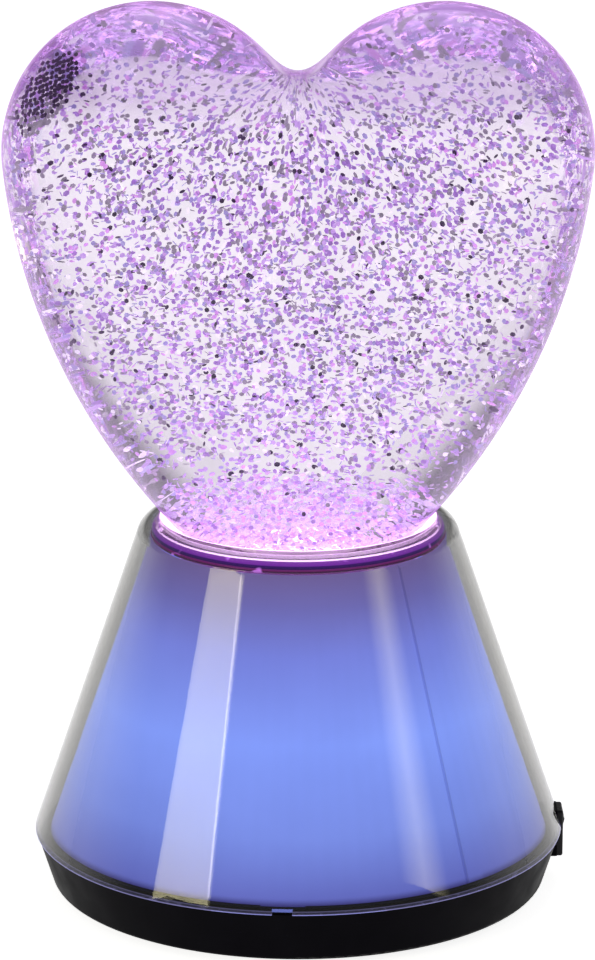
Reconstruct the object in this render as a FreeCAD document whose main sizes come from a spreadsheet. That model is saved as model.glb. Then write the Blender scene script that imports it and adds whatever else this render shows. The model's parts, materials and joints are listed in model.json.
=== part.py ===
import FreeCAD, Part
import math
import os
import re

import Sketcher
from FreeCAD import Placement, Rotation, Vector

# Glitter lamp: a clear heart full of liquid and glitter on a lit conical base.
# Z is up and Z = 0 is the table. The heart faces -Y and the switch is at +X.

doc = FreeCAD.newDocument("glitter_lamp")
sheet = doc.addObject("Spreadsheet::Sheet", "sizes")

# Driving sizes in millimetres and degrees, one list for each group of pieces
drivingSizes = {
    # heart globe, seen from the front
    "lobe_radius": 36.9,
    "lobe_offset": 35.5,
    "lobe_rise": 91.9,
    "notch_radius": 8.0,
    "flank_angle": 6.0,
    "heart_depth": 42.0,
    "crown_rise": 64.8,
    "valley_depth": 0.28,
    "puff_power": 0.75,
    "heart_wall": 2.4,
    "neck_length": 17.2,
    "neck_step": 0.3,
    "seat_radius": 32.2,
    "seat_ledge": 1.3,
    "seat_step": 0.2,
    "seat_rise": 2.0,
    "seat_gap": 0.05,
    # ring under the shell's shoulder, round the neck
    "ring_width": 2.2,
    "ring_height": 2.7,
    "ring_seat": 0.55,
    "ring_foot": 0.5,
    "ring_slot": 0.35,
    "ring_band": 0.7,
    "ring_groove": 0.6,
    "ring_crown": 1.2,
    "ring_gap": 0.25,
    # outer shell
    "lip_radius": 67.0,
    "shell_rise": 81.1,
    "shell_wall": 2.1,
    "corner_fillet": 6.0,
    "inner_fillet": 3.5,
    "seat_drop": 2.65,
    "seat_slack": 0.3,
    "seat_run": 1.7,
    "shoulder_width": 4.74,
    "boss_radius": 2.3,
    "clamp_inset": 2.7,
    # diffuser film
    "film_inset": 4.1,
    "film_wall": 0.6,
    "film_start": 0.6,
    "film_gap": 0.3,
    "lap_wall": 0.5,
    "lap_width": 5.0,
    "lap_angle": 40.5,
    # base tray
    "foot_stand": 1.7,
    "foot_radius": 5.0,
    "foot_sink": 0.8,
    "foot_inset": 9.5,
    "foot_turn": 45.0,
    "tray_rise": 13.2,
    "rim_inset": 0.3,
    "tray_taper": 4.2,
    "tray_wall": 2.0,
    "tray_floor": 2.4,
    "tray_fillet": 1.5,
    "collar_rise": 0.9,
    "collar_wall": 1.6,
    "snug_gap": 0.15,
    "ledge_width": 1.2,
    "tab_width": 4.6,
    "tab_height": 0.6,
    "tab_turn": -93.3,
    "relief_width": 10.7,
    "tab_count": 3,
    # cells, their bay and the door
    "cell_radius": 7.25,
    "cell_length": 49.3,
    "cell_nub_radius": 2.7,
    "cell_nub": 1.2,
    "cell_pitch": 15.2,
    "cell_count": 3,
    "bay_slack": 0.8,
    "cell_lift": 0.4,
    "bay_wall": 1.6,
    "bay_end": 3.4,
    "plate_wall": 0.5,
    "plate_width": 10.0,
    "spring_radius": 3.6,
    "spring_wire": 0.4,
    "spring_turns": 3,
    "door_wall": 1.4,
    "door_ledge": 1.3,
    "door_gap": 0.3,
    "door_screw_length": 5.2,
    "door_screw_head": 0.8,
    "lug_radius": 4.0,
    "lug_height": 6.0,
    "grip_length": 16.0,
    "grip_width": 1.0,
    "grip_depth": 0.5,
    "grip_pitch": 2.0,
    "grip_start": 24.0,
    "grip_count": 5,
    # fasteners
    "screw_radius": 1.2,
    "screw_head_radius": 2.4,
    "screw_head": 1.5,
    "screw_gap": 0.03,
    "post_radius": 3.4,
    "post_circle": 44.0,
    "post_turn": 30.0,
    "screw_bite": 5.0,
    # light deck and boards
    "deck_rise": 20.6,
    "deck_wall": 1.6,
    "deck_gap": 0.35,
    "board_wall": 1.2,
    "low_board_inner": 27.0,
    "low_board_outer": 39.0,
    "lamp_radius": 2.5,
    "lamp_height": 5.2,
    "lamp_count": 6,
    "control_length": 34.0,
    "control_width": 24.0,
    "control_lift": 3.0,
    "stand_radius": 1.6,
    "stand_inset": 3.0,
    "chip_length": 10.0,
    "chip_width": 7.0,
    "chip_height": 1.6,
    "capacitor_radius": 2.5,
    "capacitor_height": 6.0,
    "crystal_length": 8.0,
    "crystal_width": 4.0,
    "resistor_length": 2.6,
    "resistor_width": 1.4,
    "resistor_pitch": 4.0,
    "lead_hole_inset": 3.6,
    "lead_hole_length": 8.0,
    "lead_hole_width": 10.0,
    # plug, seal and bracket
    "flange_edge": 3.0,
    "flange_wall": 3.0,
    "plug_rise": 4.0,
    "plug_gap": 0.2,
    "seal_section": 1.0,
    "pin_radius": 1.0,
    "pin_seat": 1.8,
    "bracket_drop": 9.0,
    "bracket_wall": 2.0,
    "bracket_radius": 27.5,
    "bracket_edge": 3.5,
    "bracket_turn": 60.0,
    "high_board_inner": 13.0,
    "high_board_outer": 20.0,
    "high_lamp_height": 3.2,
    # motor and its magnet carrier
    "motor_radius": 12.2,
    "motor_length": 18.0,
    "motor_nose": 3.0,
    "nose_height": 1.8,
    "cap_wall": 2.2,
    "shaft_radius": 1.0,
    "can_wall": 0.8,
    "core_radius": 8.8,
    "core_gap": 2.5,
    "terminal_spread": 7.0,
    "terminal_drop": 3.2,
    "terminal_width": 2.4,
    "terminal_wall": 0.8,
    "carrier_radius": 10.0,
    "carrier_wall": 3.4,
    "carrier_gap": 1.5,
    "magnet_radius": 2.5,
    "magnet_wall": 2.0,
    "magnet_circle": 6.4,
    # impeller
    "hub_radius": 9.5,
    "hub_wall": 3.0,
    "hub_gap": 0.5,
    "blade_radius": 15.0,
    "blade_height": 6.0,
    "blade_wall": 1.2,
    "blade_count": 4,
    "cone_radius": 3.0,
    "cone_height": 2.5,
    "magnet_turn": 45.0,
    "running_gap": 0.06,
    "chamber_gap": 0.6,
    # glitter
    "flake_radius": 0.65,
    "flake_wall": 0.14,
    "flake_count": 300,
    # switch
    "switch_proud": 0.5,
    "bezel_wall": 1.5,
    "bezel_width": 7.6,
    "bezel_height": 12.2,
    "bezel_low": 6.5,
    "bezel_round": 0.6,
    "tongue_wall": 4.6,
    "switch_depth": 9.0,
    "switch_wall": 0.7,
    "switch_inset": 0.7,
    "rocker_gap": 0.3,
    "rocker_throw": 12.0,
    "rocker_sink": 0.4,
    "pivot_depth": 3.2,
    "pivot_radius": 0.9,
    "terminal_length": 4.0,
    "terminal_pitch": 3.2,
    "rocker_round": 0.6,
    # leads
    "lead_radius": 0.6,
    "lead_hole_gap": 0.3,
    "board_inset": 1.4,
    "socket_inset": 2.5,
    # how far a cut runs past a face, and how deep a pad is sunk into its neighbour
    "overcut": 2.0,
    "root": 0.5,
}

# Places that follow from the sizes above, as formulas of the same sheet
derivedPlaces = {
    "lip_z": "foot_stand + tray_rise",
    "neck_radius": "seat_radius - seat_ledge",
    "seat_edge": "seat_radius + seat_slack",
    "crown_radius": "seat_edge + seat_run",
    "top_radius": "crown_radius + shoulder_width",
    "rim_radius": "lip_radius - rim_inset",
    "tray_radius": "rim_radius - tray_taper",
    "foot_circle": "tray_radius - foot_inset",
    "ring_radius": "crown_radius + ring_width",
    "clamp_circle": "neck_radius + clamp_inset",
    "plug_flange": "clamp_circle + flange_edge",
    "bracket_circle": "bracket_radius - bracket_edge",
    "lamp_circle": "(low_board_inner + low_board_outer) / 2",
    "high_lamp_circle": "(high_board_inner + high_board_outer) / 2",
    "switch_face": "lip_radius + switch_proud",
    "top_z": "lip_z + shell_rise",
    "seat_z": "top_z - seat_drop",
    "heart_z": "seat_z + seat_gap + seat_rise",
    "ring_z": "seat_z - shell_wall - ring_seat",
    "neck_z": "heart_z - neck_length",
    "slope": "(lip_radius - top_radius) / shell_rise",
    "collar_radius": "lip_radius - shell_wall - snug_gap",
    "floor_z": "foot_stand + tray_floor",
    "ceiling_z": "foot_stand + door_wall + door_gap + 2 * cell_radius + 2 * cell_lift",
    "cell_z": "foot_stand + door_wall + door_gap + cell_lift + cell_radius",
    "bay_x": "cell_count * cell_pitch + bay_slack",
    "bay_y": "cell_length + cell_nub + 2 * bay_end",
    "door_x": "bay_x / 2 + door_ledge - door_gap",
    "door_y": "bay_y / 2 + door_ledge - door_gap",
    "lug_y": "bay_y / 2 + bay_wall + lug_radius / 2",
    "film_low": "lip_z + film_start",
    "film_high": "ring_z - film_gap",
    "plug_z": "neck_z - flange_wall",
    "plug_top": "neck_z + plug_rise",
    "bore_radius": "neck_radius - heart_wall - neck_step",
    "plug_radius": "bore_radius - plug_gap",
    "seal_z": "neck_z + plug_rise / 2",
    "bracket_z": "plug_z - bracket_drop",
    "motor_top": "bracket_z",
    "motor_low": "motor_top - motor_length",
    "carrier_z": "plug_z - carrier_gap - carrier_wall",
    "hub_z": "plug_top + hub_gap",
    "blade_z": "hub_z + hub_wall",
    "chamber_top": "blade_z + blade_height + chamber_gap",
    "tongue_top": "bezel_low + bezel_height",
    "tongue_face": "switch_face - bezel_wall",
    "tongue_back": "tongue_face - tongue_wall",
    "switch_mid": "bezel_low + bezel_height / 2",
    "terminal_end": "tongue_face - switch_depth - terminal_length",
    "lead_hole_start": "terminal_end - lead_hole_inset - lead_hole_length",
    "body_width": "bezel_width - 2 * switch_inset",
    "body_height": "bezel_height - 2 * switch_inset",
    "well_width": "body_width - 2 * switch_wall",
    "well_height": "body_height - 2 * switch_wall",
    "deck_z": "deck_rise",
    "deck_top": "deck_z + deck_wall",
    "deck_radius": "lip_radius - film_inset - film_wall - slope * (deck_top - lip_z) - deck_gap",
    "board_z": "deck_top + control_lift + board_wall",
    "lead_y": "bay_y / 2 - lead_radius - running_gap",
}

scratchCell = "D1"


def fillSheet():
    for row, (name, value) in enumerate(drivingSizes.items(), start=1):
        sheet.set(f"A{row}", name)
        sheet.set(f"B{row}", str(value))
        sheet.setAlias(f"B{row}", name)
    first = len(drivingSizes) + 1
    for row, (name, formula) in enumerate(derivedPlaces.items(), start=first):
        sheet.set(f"A{row}", name)
        sheet.set(f"B{row}", "=" + formula)
        sheet.setAlias(f"B{row}", name)
    sheet.recompute()


fillSheet()
aliases = list(drivingSizes) + list(derivedPlaces)


def cells(formula):
    """The formula with each alias written as a cell of the sheet."""
    return re.sub(r"[a-z_]+", lambda word: "sizes." + word.group()
                  if word.group() in aliases else word.group(), formula)


def number(formula):
    """The value of a formula, worked out by the sheet itself."""
    sheet.set(scratchCell, "=" + formula)
    sheet.recompute()
    return float(sheet.get(scratchCell))


def placed(piece, at=("0", "0", "0"), axis=None, angle="0"):
    """Binds a piece's Placement to formulas."""
    if axis:
        piece.Placement = Placement(Vector(), Rotation(Vector(*axis), number(angle)))
    for letter, formula in zip("xyz", at):
        piece.setExpression(f"Placement.Base.{letter}", cells(formula))
    return piece


def primitive(kind, name, sizes, at=("0", "0", "0"), axis=None, angle="0"):
    """A Part primitive whose sizes and place are formulas."""
    piece = doc.addObject("Part::" + kind, name)
    for key, formula in sizes.items():
        piece.setExpression(key, cells(formula))
    return placed(piece, at, axis, angle)


def cylinder(name, radius, height, at, axis=None, angle="0"):
    return primitive("Cylinder", name, {"Radius": radius, "Height": height}, at, axis, angle)


def block(name, low, size):
    """A box from its low corner and its three lengths."""
    return primitive("Box", name, dict(zip(("Length", "Width", "Height"), size)), low)


def joined(name, members):
    piece = doc.addObject("Part::MultiFuse", name)
    piece.Shapes = members
    return piece


def group(label, members):
    """Separate alike solids that share one node."""
    piece = doc.addObject("Part::Compound", label)
    piece.Links = members
    return piece


def around(circle, angle):
    """X and Y formulas of a point on a circle about Z."""
    return f"{circle} * cos({angle})", f"{circle} * sin({angle})"


def newBody(label):
    body = doc.addObject("PartDesign::Body", label)
    body.Label = label
    return body


def sketchOn(body, role, name, lift="0", turn="0", turnAxis=(0, 0, 1)):
    """A sketch on one of the body's own origin planes, lifted and turned by formulas."""
    plane = next(item for item in body.Origin.OriginFeatures if item.Role == role)
    sketch = body.newObject("Sketcher::SketchObject", name)
    sketch.AttachmentSupport = (plane, [""])
    sketch.MapMode = "FlatFace"
    sketch.AttachmentOffset = Placement(Vector(), Rotation(Vector(*turnAxis), number(turn)))
    sketch.setExpression("AttachmentOffset.Base.z", cells(lift))
    return sketch


def pin(sketch, geometry, point, x, y):
    """Fixes a point of the sketch at two formulas."""
    for kind, formula, axis in (("DistanceX", x, -2), ("DistanceY", y, -1)):
        value = number(formula)
        if abs(value) < 1e-9:
            sketch.addConstraint(Sketcher.Constraint("PointOnObject", geometry, point, axis))
            continue
        index = sketch.addConstraint(Sketcher.Constraint(kind, -1, 1, geometry, point, value))
        sketch.setExpression(f"Constraints[{index}]", cells(formula))


def outline(sketch, corners):
    """A closed outline of straight sides through corners given as formulas."""
    spots = [Vector(number(x), number(y), 0) for x, y in corners]
    first = len(sketch.Geometry)
    for here, there in zip(spots, spots[1:] + spots[:1]):
        sketch.addGeometry(Part.LineSegment(here, there), False)
    for index, (x, y) in enumerate(corners):
        side = first + index
        following = first + (index + 1) % len(corners)
        sketch.addConstraint(Sketcher.Constraint("Coincident", side, 2, following, 1))
        pin(sketch, side, 1, x, y)
    return sketch


def rectangle(sketch, lowX, lowY, highX, highY):
    return outline(sketch, [(lowX, lowY), (highX, lowY), (highX, highY), (lowX, highY)])


def circle(sketch, x, y, radius):
    spot = Vector(number(x), number(y), 0)
    index = sketch.addGeometry(Part.Circle(spot, Vector(0, 0, 1), number(radius)), False)
    ruling = sketch.addConstraint(Sketcher.Constraint("Radius", index, number(radius)))
    sketch.setExpression(f"Constraints[{ruling}]", cells(radius))
    pin(sketch, index, 3, x, y)
    return sketch


def revolved(body, corners, name="Turned"):
    """A solid of revolution about Z from an outline of (radius, height) corners."""
    sketch = outline(sketchOn(body, "XZ_Plane", name + "Outline"), corners)
    turned = body.newObject("PartDesign::Revolution", name)
    turned.Profile = sketch
    turned.ReferenceAxis = (sketch, ["V_Axis"])
    turned.Angle = 360
    return turned


def padded(body, sketch, name, length, down=False):
    pad = body.newObject("PartDesign::Pad", name)
    pad.Profile = sketch
    pad.Reversed = down
    pad.setExpression("Length", cells(length))
    return pad


def pocketed(body, sketch, name, length, forward=False):
    """A pocket against the sketch's normal, or along it when forward is set."""
    pocket = body.newObject("PartDesign::Pocket", name)
    pocket.Profile = sketch
    pocket.Reversed = forward
    pocket.setExpression("Length", cells(length))
    return pocket


def patterned(body, feature, sketch, name, count):
    """Repeats a feature about Z."""
    pattern = body.newObject("PartDesign::PolarPattern", name)
    pattern.Originals = [feature]
    pattern.Axis = (sketch, ["N_Axis"])
    pattern.Angle = 360
    pattern.setExpression("Occurrences", cells(count))
    body.Tip = pattern
    return pattern


def rounded(body, feature, name, radius, chosen):
    """Fillets the edges of a feature that a test picks."""
    doc.recompute()
    edges = [f"Edge{index}" for index, edge in enumerate(feature.Shape.Edges, start=1) if chosen(edge)]
    fillet = body.newObject("PartDesign::Fillet", name)
    fillet.Base = (feature, edges)
    fillet.setExpression("Radius", cells(radius))
    return fillet


def ringEdge(radius, height):
    """A test for the full circle of that radius and height about Z."""
    def chosen(edge):
        curve = edge.Curve
        return (isinstance(curve, Part.Circle) and abs(curve.Radius - number(radius)) < 0.01
                and abs(curve.Center.z - number(height)) < 0.01)
    return chosen


def batteryLeadHoles(body, top, depth):
    """Two holes where the battery leads pass up, one at each end of the bay."""
    sketch = sketchOn(body, "XY_Plane", "BatteryLeadOutline", top)
    for sign in ("", "0 - "):
        circle(sketch, f"{sign}cell_pitch", f"{sign}lead_y", "lead_radius + lead_hole_gap")
    return pocketed(body, sketch, "BatteryLeadHoles", depth)


# The heart globe

def heartArcs(inset):
    """The centres, radii and sweep of the front view's arcs, drawn in by the inset."""
    lobe = sizeOf("lobe_radius")
    offset = sizeOf("lobe_offset")
    lobeZ = sizeOf("heart_z") + sizeOf("lobe_rise")
    angle = math.radians(sizeOf("flank_angle"))
    away = Vector(math.cos(angle), 0, -math.sin(angle))
    toNeck = Vector(sizeOf("seat_radius") - offset, 0, -sizeOf("lobe_rise"))
    reach = toNeck.dot(away)
    flank = (toNeck.dot(toNeck) - 2 * lobe * reach + lobe ** 2) / (2 * (lobe - reach))
    return {
        "lobe": lobe - inset,
        "offset": offset,
        "lobeZ": lobeZ,
        "angle": angle,
        "flank": flank - inset,
        "flankX": offset - (flank - lobe) * away.x,
        "flankZ": lobeZ - (flank - lobe) * away.z,
        "notch": sizeOf("notch_radius") + inset,
        "neck": sizeOf("seat_radius") - inset,
        "depth": sizeOf("heart_depth") - inset,
        "crownZ": sizeOf("heart_z") + sizeOf("crown_rise"),
    }


def upperSpot(arcs, share):
    """A point of the front view, from the notch over the lobe to the flank."""
    notchZ = arcs["lobeZ"] + math.sqrt((arcs["lobe"] + arcs["notch"]) ** 2 - arcs["offset"] ** 2)
    opening = math.atan2(arcs["offset"], notchZ - arcs["lobeZ"])
    start = math.pi / 2 + opening
    inNotch = arcs["notch"] * opening
    length = share * (inNotch + arcs["lobe"] * (start + arcs["angle"]))
    if length < inNotch:
        turn = length / arcs["notch"]
        return arcs["notch"] * math.sin(turn), notchZ - arcs["notch"] * math.cos(turn)
    turn = start - (length - inNotch) / arcs["lobe"]
    return arcs["offset"] + arcs["lobe"] * math.cos(turn), arcs["lobeZ"] + arcs["lobe"] * math.sin(turn)


def lowerSpot(arcs, share):
    """A point of the front view down the flank, and of the side view down to the neck."""
    end = math.acos((arcs["neck"] - arcs["flankX"]) / arcs["flank"])
    turn = arcs["angle"] + (end - arcs["angle"]) * share
    x = arcs["flankX"] + arcs["flank"] * math.cos(turn)
    z = arcs["flankZ"] - arcs["flank"] * math.sin(turn)
    drop = arcs["crownZ"] - (arcs["flankZ"] - arcs["flank"] * math.sin(end))
    draw = arcs["depth"] - arcs["neck"]
    sideArc = (drop ** 2 + draw ** 2) / (2 * draw)
    sideTurn = math.asin(drop / sideArc) * share
    y = arcs["depth"] - sideArc * (1 - math.cos(sideTurn))
    return x, z, y, arcs["crownZ"] - sideArc * math.sin(sideTurn)


upperRows = 16
lowerRows = 12
ringSteps = 24


def heartRing(arcs, row):
    """One row of the half heart's surface, a half turn from -X by way of -Y to +X."""
    topX, topZ = upperSpot(arcs, 0)
    share = min(1.0, row / upperRows)
    if row <= upperRows:
        x, sideZ = upperSpot(arcs, share)
        power = sizeOf("puff_power")
        y = arcs["depth"] * math.sin(share * math.pi / 2) ** power
        frontZ = arcs["crownZ"] + (topZ - arcs["crownZ"]) * abs(math.cos(share * math.pi / 2)) ** power
    else:
        x, sideZ, y, frontZ = lowerSpot(arcs, (row - upperRows) / lowerRows)
    valley = sizeOf("valley_depth") * (1 - share) ** 1.5
    points = []
    for step in range(ringSteps + 1):
        turn = math.pi * (1 + step / ringSteps)
        across = -math.cos(turn) ** 2 + 1
        depth = y * math.sin(turn) * (1 - valley * across ** 2)
        points.append(Vector(x * math.cos(turn), depth, sideZ + (frontZ - sideZ) * across))
    points[0].y = 0.0
    points[-1].y = 0.0
    return points


def halfDisc(radius, low, high):
    """The front half of an upright cylinder."""
    disc = Part.makeCylinder(radius, high - low, Vector(0, 0, low), Vector(0, 0, 1), 180)
    disc.rotate(Vector(0, 0, 0), Vector(0, 0, 1), 180)
    return disc


neckOverlap = 3.0


def halfHeart(inset, bore, seated=False):
    """The closed front half of the heart, drawn in by the inset, with its neck and seat."""
    arcs = heartArcs(inset)
    rings = [heartRing(arcs, row) for row in range(upperRows + lowerRows + 1)]
    surface = Part.BSplineSurface()
    surface.interpolate(rings)
    skin = surface.toShape()
    low, high = rings[-1][0], rings[-1][-1]
    floorEdge = next(edge for edge in skin.Edges if abs(edge.valueAt(edge.FirstParameter).z - low.z) < 0.01
                     and abs(edge.valueAt(edge.LastParameter).z - low.z) < 0.01)
    sideEdges = [edge for edge in skin.Edges if edge.Length > 1 and not edge.isSame(floorEdge)]
    across = Part.makeLine(low, high)
    seam = Part.Face(Part.Wire(Part.__sortEdges__(sideEdges + [across])))
    floor = Part.Face(Part.Wire(Part.__sortEdges__([floorEdge, across])))
    shell = Part.makeShell([skin, seam, floor])
    shell.sewShape()
    bulb = Part.makeSolid(shell)
    if bulb.Volume < 0:
        bulb.reverse()
    parts = [halfDisc(bore, sizeOf("neck_z"), low.z + neckOverlap)]
    if seated:
        parts.append(halfDisc(sizeOf("seat_radius") - sizeOf("seat_step"),
                              sizeOf("seat_z") + sizeOf("seat_gap"), low.z + neckOverlap))
    return bulb.fuse(parts).removeSplitter()


def sizeOf(alias):
    return float(sheet.get(alias))


def feature(label, shape):
    piece = doc.addObject("Part::Feature", label)
    piece.Shape = shape
    piece.Placement = Placement()
    return piece


def mirrored(shape):
    return shape.mirror(Vector(0, 0, 0), Vector(0, 1, 0))


def makeHeart():
    wall = sizeOf("heart_wall")
    outerNeck = sizeOf("neck_radius") - sizeOf("neck_step")
    boreRadius = outerNeck - wall
    outer = halfHeart(0.0, outerNeck, seated=True)
    inner = halfHeart(wall, boreRadius)
    front = outer.cut(inner)
    feature("heart_front_half", front)
    feature("heart_rear_half", mirrored(front))
    skin = 0.05
    fill = halfHeart(wall + skin, boreRadius - skin)
    fill = fill.fuse(mirrored(fill)).removeSplitter()
    plugTop = sizeOf("plug_top") + skin
    low = Part.makeCylinder(boreRadius, plugTop - sizeOf("neck_z"), Vector(0, 0, sizeOf("neck_z")))
    chamber = Part.makeCylinder(sizeOf("blade_radius") + sizeOf("chamber_gap"),
                                sizeOf("chamber_top") - plugTop, Vector(0, 0, plugTop))
    feature("liquid_fill", fill.cut(low).cut(chamber))


def makeFlakes():
    """Hexagonal flakes spread through the liquid by the golden angle, each turned its own way."""
    arcs = heartArcs(sizeOf("heart_wall") + 2)
    middle = Vector(0, 0, sizeOf("heart_z") + 0.6 * sizeOf("lobe_rise"))
    count = int(sizeOf("flake_count"))
    golden = math.pi * (3 - math.sqrt(5))
    corners = [Vector(math.cos(math.pi * k / 3), math.sin(math.pi * k / 3), 0) * sizeOf("flake_radius")
               for k in range(7)]
    blank = Part.Face(Part.makePolygon(corners)).extrude(Vector(0, 0, sizeOf("flake_wall")))
    flakes = []
    for index in range(count):
        row = 3 + (index * 7) % (upperRows + lowerRows - 4)
        ring = heartRing(arcs, row)
        spot = ring[int(ringSteps * ((index * golden) % math.pi) / math.pi)]
        spot = Vector(spot.x, spot.y * (1 if index % 2 else -1), spot.z)
        share = 0.35 + 0.6 * ((index + 0.5) / count) ** 0.5
        flake = blank.copy()
        flake.Placement = Placement(middle + (spot - middle) * share,
                                    Rotation(Vector(math.cos(index), math.sin(index), 0.4), 50 * index))
        flakes.append(flake)
    feature("glitter_flakes", Part.makeCompound(flakes))


# The clear parts of the base

def makeNeckRing():
    """A stepped ring under the shell's shoulder, with the bosses that clamp the plug."""
    body = newBody("neck_ring")
    inner = "neck_radius + ring_gap"
    stepLow = "ring_z + ring_foot"
    stepHigh = "ring_z + ring_foot + ring_slot"
    bandTop = "ring_z + ring_foot + ring_slot + ring_band"
    crown = "crown_radius + seat_slack + ring_groove / 2"
    revolved(body, [
        (inner, "ring_z"),
        ("ring_radius", "ring_z"),
        ("ring_radius", stepLow),
        ("ring_radius - ring_groove", stepLow),
        ("ring_radius - ring_groove", stepHigh),
        ("ring_radius - ring_groove / 2", stepHigh),
        ("ring_radius - ring_groove", bandTop),
        ("ring_radius - ring_crown", "ring_z + ring_height"),
        (crown, "ring_z + ring_height"),
        ("seat_edge + ring_groove", "ring_z + ring_seat"),
        (inner, "ring_z + ring_seat"),
    ])
    boss = sketchOn(body, "XY_Plane", "BossOutline", "neck_z")
    circle(boss, "clamp_circle", "0", "boss_radius")
    circle(boss, "clamp_circle", "0", "screw_radius + screw_gap")
    raised = padded(body, boss, "Boss", "ring_z + ring_seat / 2 - neck_z")
    patterned(body, raised, boss, "Bosses", "tab_count")


def makeShell():
    body = newBody("outer_shell")
    innerTop = "top_radius + shell_wall * slope - shell_wall"
    opening = "neck_radius - neck_step + ring_gap"
    turned = revolved(body, [
        ("lip_radius", "lip_z"),
        ("top_radius", "top_z"),
        ("crown_radius", "top_z"),
        ("seat_edge", "seat_z"),
        (opening, "seat_z"),
        (opening, "seat_z - shell_wall"),
        ("seat_edge + seat_slack", "seat_z - shell_wall"),
        ("crown_radius + seat_slack", "top_z - shell_wall"),
        (innerTop, "top_z - shell_wall"),
        ("lip_radius - shell_wall", "lip_z"),
    ])
    outer = rounded(body, turned, "Shoulder", "corner_fillet", ringEdge("top_radius", "top_z"))
    rounded(body, outer, "InnerShoulder", "inner_fillet", ringEdge(innerTop, "top_z - shell_wall"))
    notch = sketchOn(body, "XY_Plane", "SnapOutline", "lip_z + tab_height + snug_gap", "tab_turn")
    rectangle(notch, "lip_radius - shell_wall - overcut", "0 - tab_width / 2 - snug_gap",
              "lip_radius + overcut", "tab_width / 2 + snug_gap")
    snap = pocketed(body, notch, "SnapNotch", "tab_height + snug_gap")
    patterned(body, snap, notch, "SnapNotches", "tab_count")
    door = sketchOn(body, "YZ_Plane", "SwitchOutline", "tongue_back - switch_depth")
    rectangle(door, "0 - bezel_width / 2 - film_gap", "lip_z - overcut",
              "bezel_width / 2 + film_gap", "tongue_top + film_gap")
    pocketed(body, door, "SwitchNotch", "2 * switch_depth + tongue_wall", forward=True)


def filmRadius(height, more):
    return f"lip_radius - film_inset - slope * ({height} - lip_z) {more}"


def makeDiffuser():
    body = newBody("diffuser_sleeve")
    revolved(body, [
        (filmRadius("film_low", "- film_wall"), "film_low"),
        (filmRadius("film_low", ""), "film_low"),
        (filmRadius("film_high", ""), "film_high"),
        (filmRadius("film_high", "- film_wall"), "film_high"),
    ])
    lapTurn = "lap_angle - 90"
    lapLow = "lip_z + collar_rise + film_gap"
    lapHigh = "film_high - film_gap"
    sketch = sketchOn(body, "XZ_Plane", "LapOutline", turn=lapTurn, turnAxis=(0, 1, 0))
    outline(sketch, [
        (filmRadius(lapLow, "- film_wall / 2"), lapLow),
        (filmRadius(lapLow, "+ lap_wall"), lapLow),
        (filmRadius(lapHigh, "+ lap_wall"), lapHigh),
        (filmRadius(lapHigh, "- film_wall / 2"), lapHigh),
    ])
    lap = body.newObject("PartDesign::Revolution", "Lap")
    lap.Profile = sketch
    lap.ReferenceAxis = (sketch, ["V_Axis"])
    lap.setExpression("Angle", cells("lap_width / (lip_radius - film_inset) * 57.3"))
    notch = sketchOn(body, "YZ_Plane", "SwitchOutline", "tongue_back - switch_depth")
    rectangle(notch, "0 - bezel_width / 2 - 2 * film_gap", "lip_z",
              "bezel_width / 2 + 2 * film_gap", "tongue_top + 2 * film_gap")
    pocketed(body, notch, "SwitchNotch", "2 * switch_depth + tongue_wall", forward=True)


# The base tray, its feet and its screws

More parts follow.
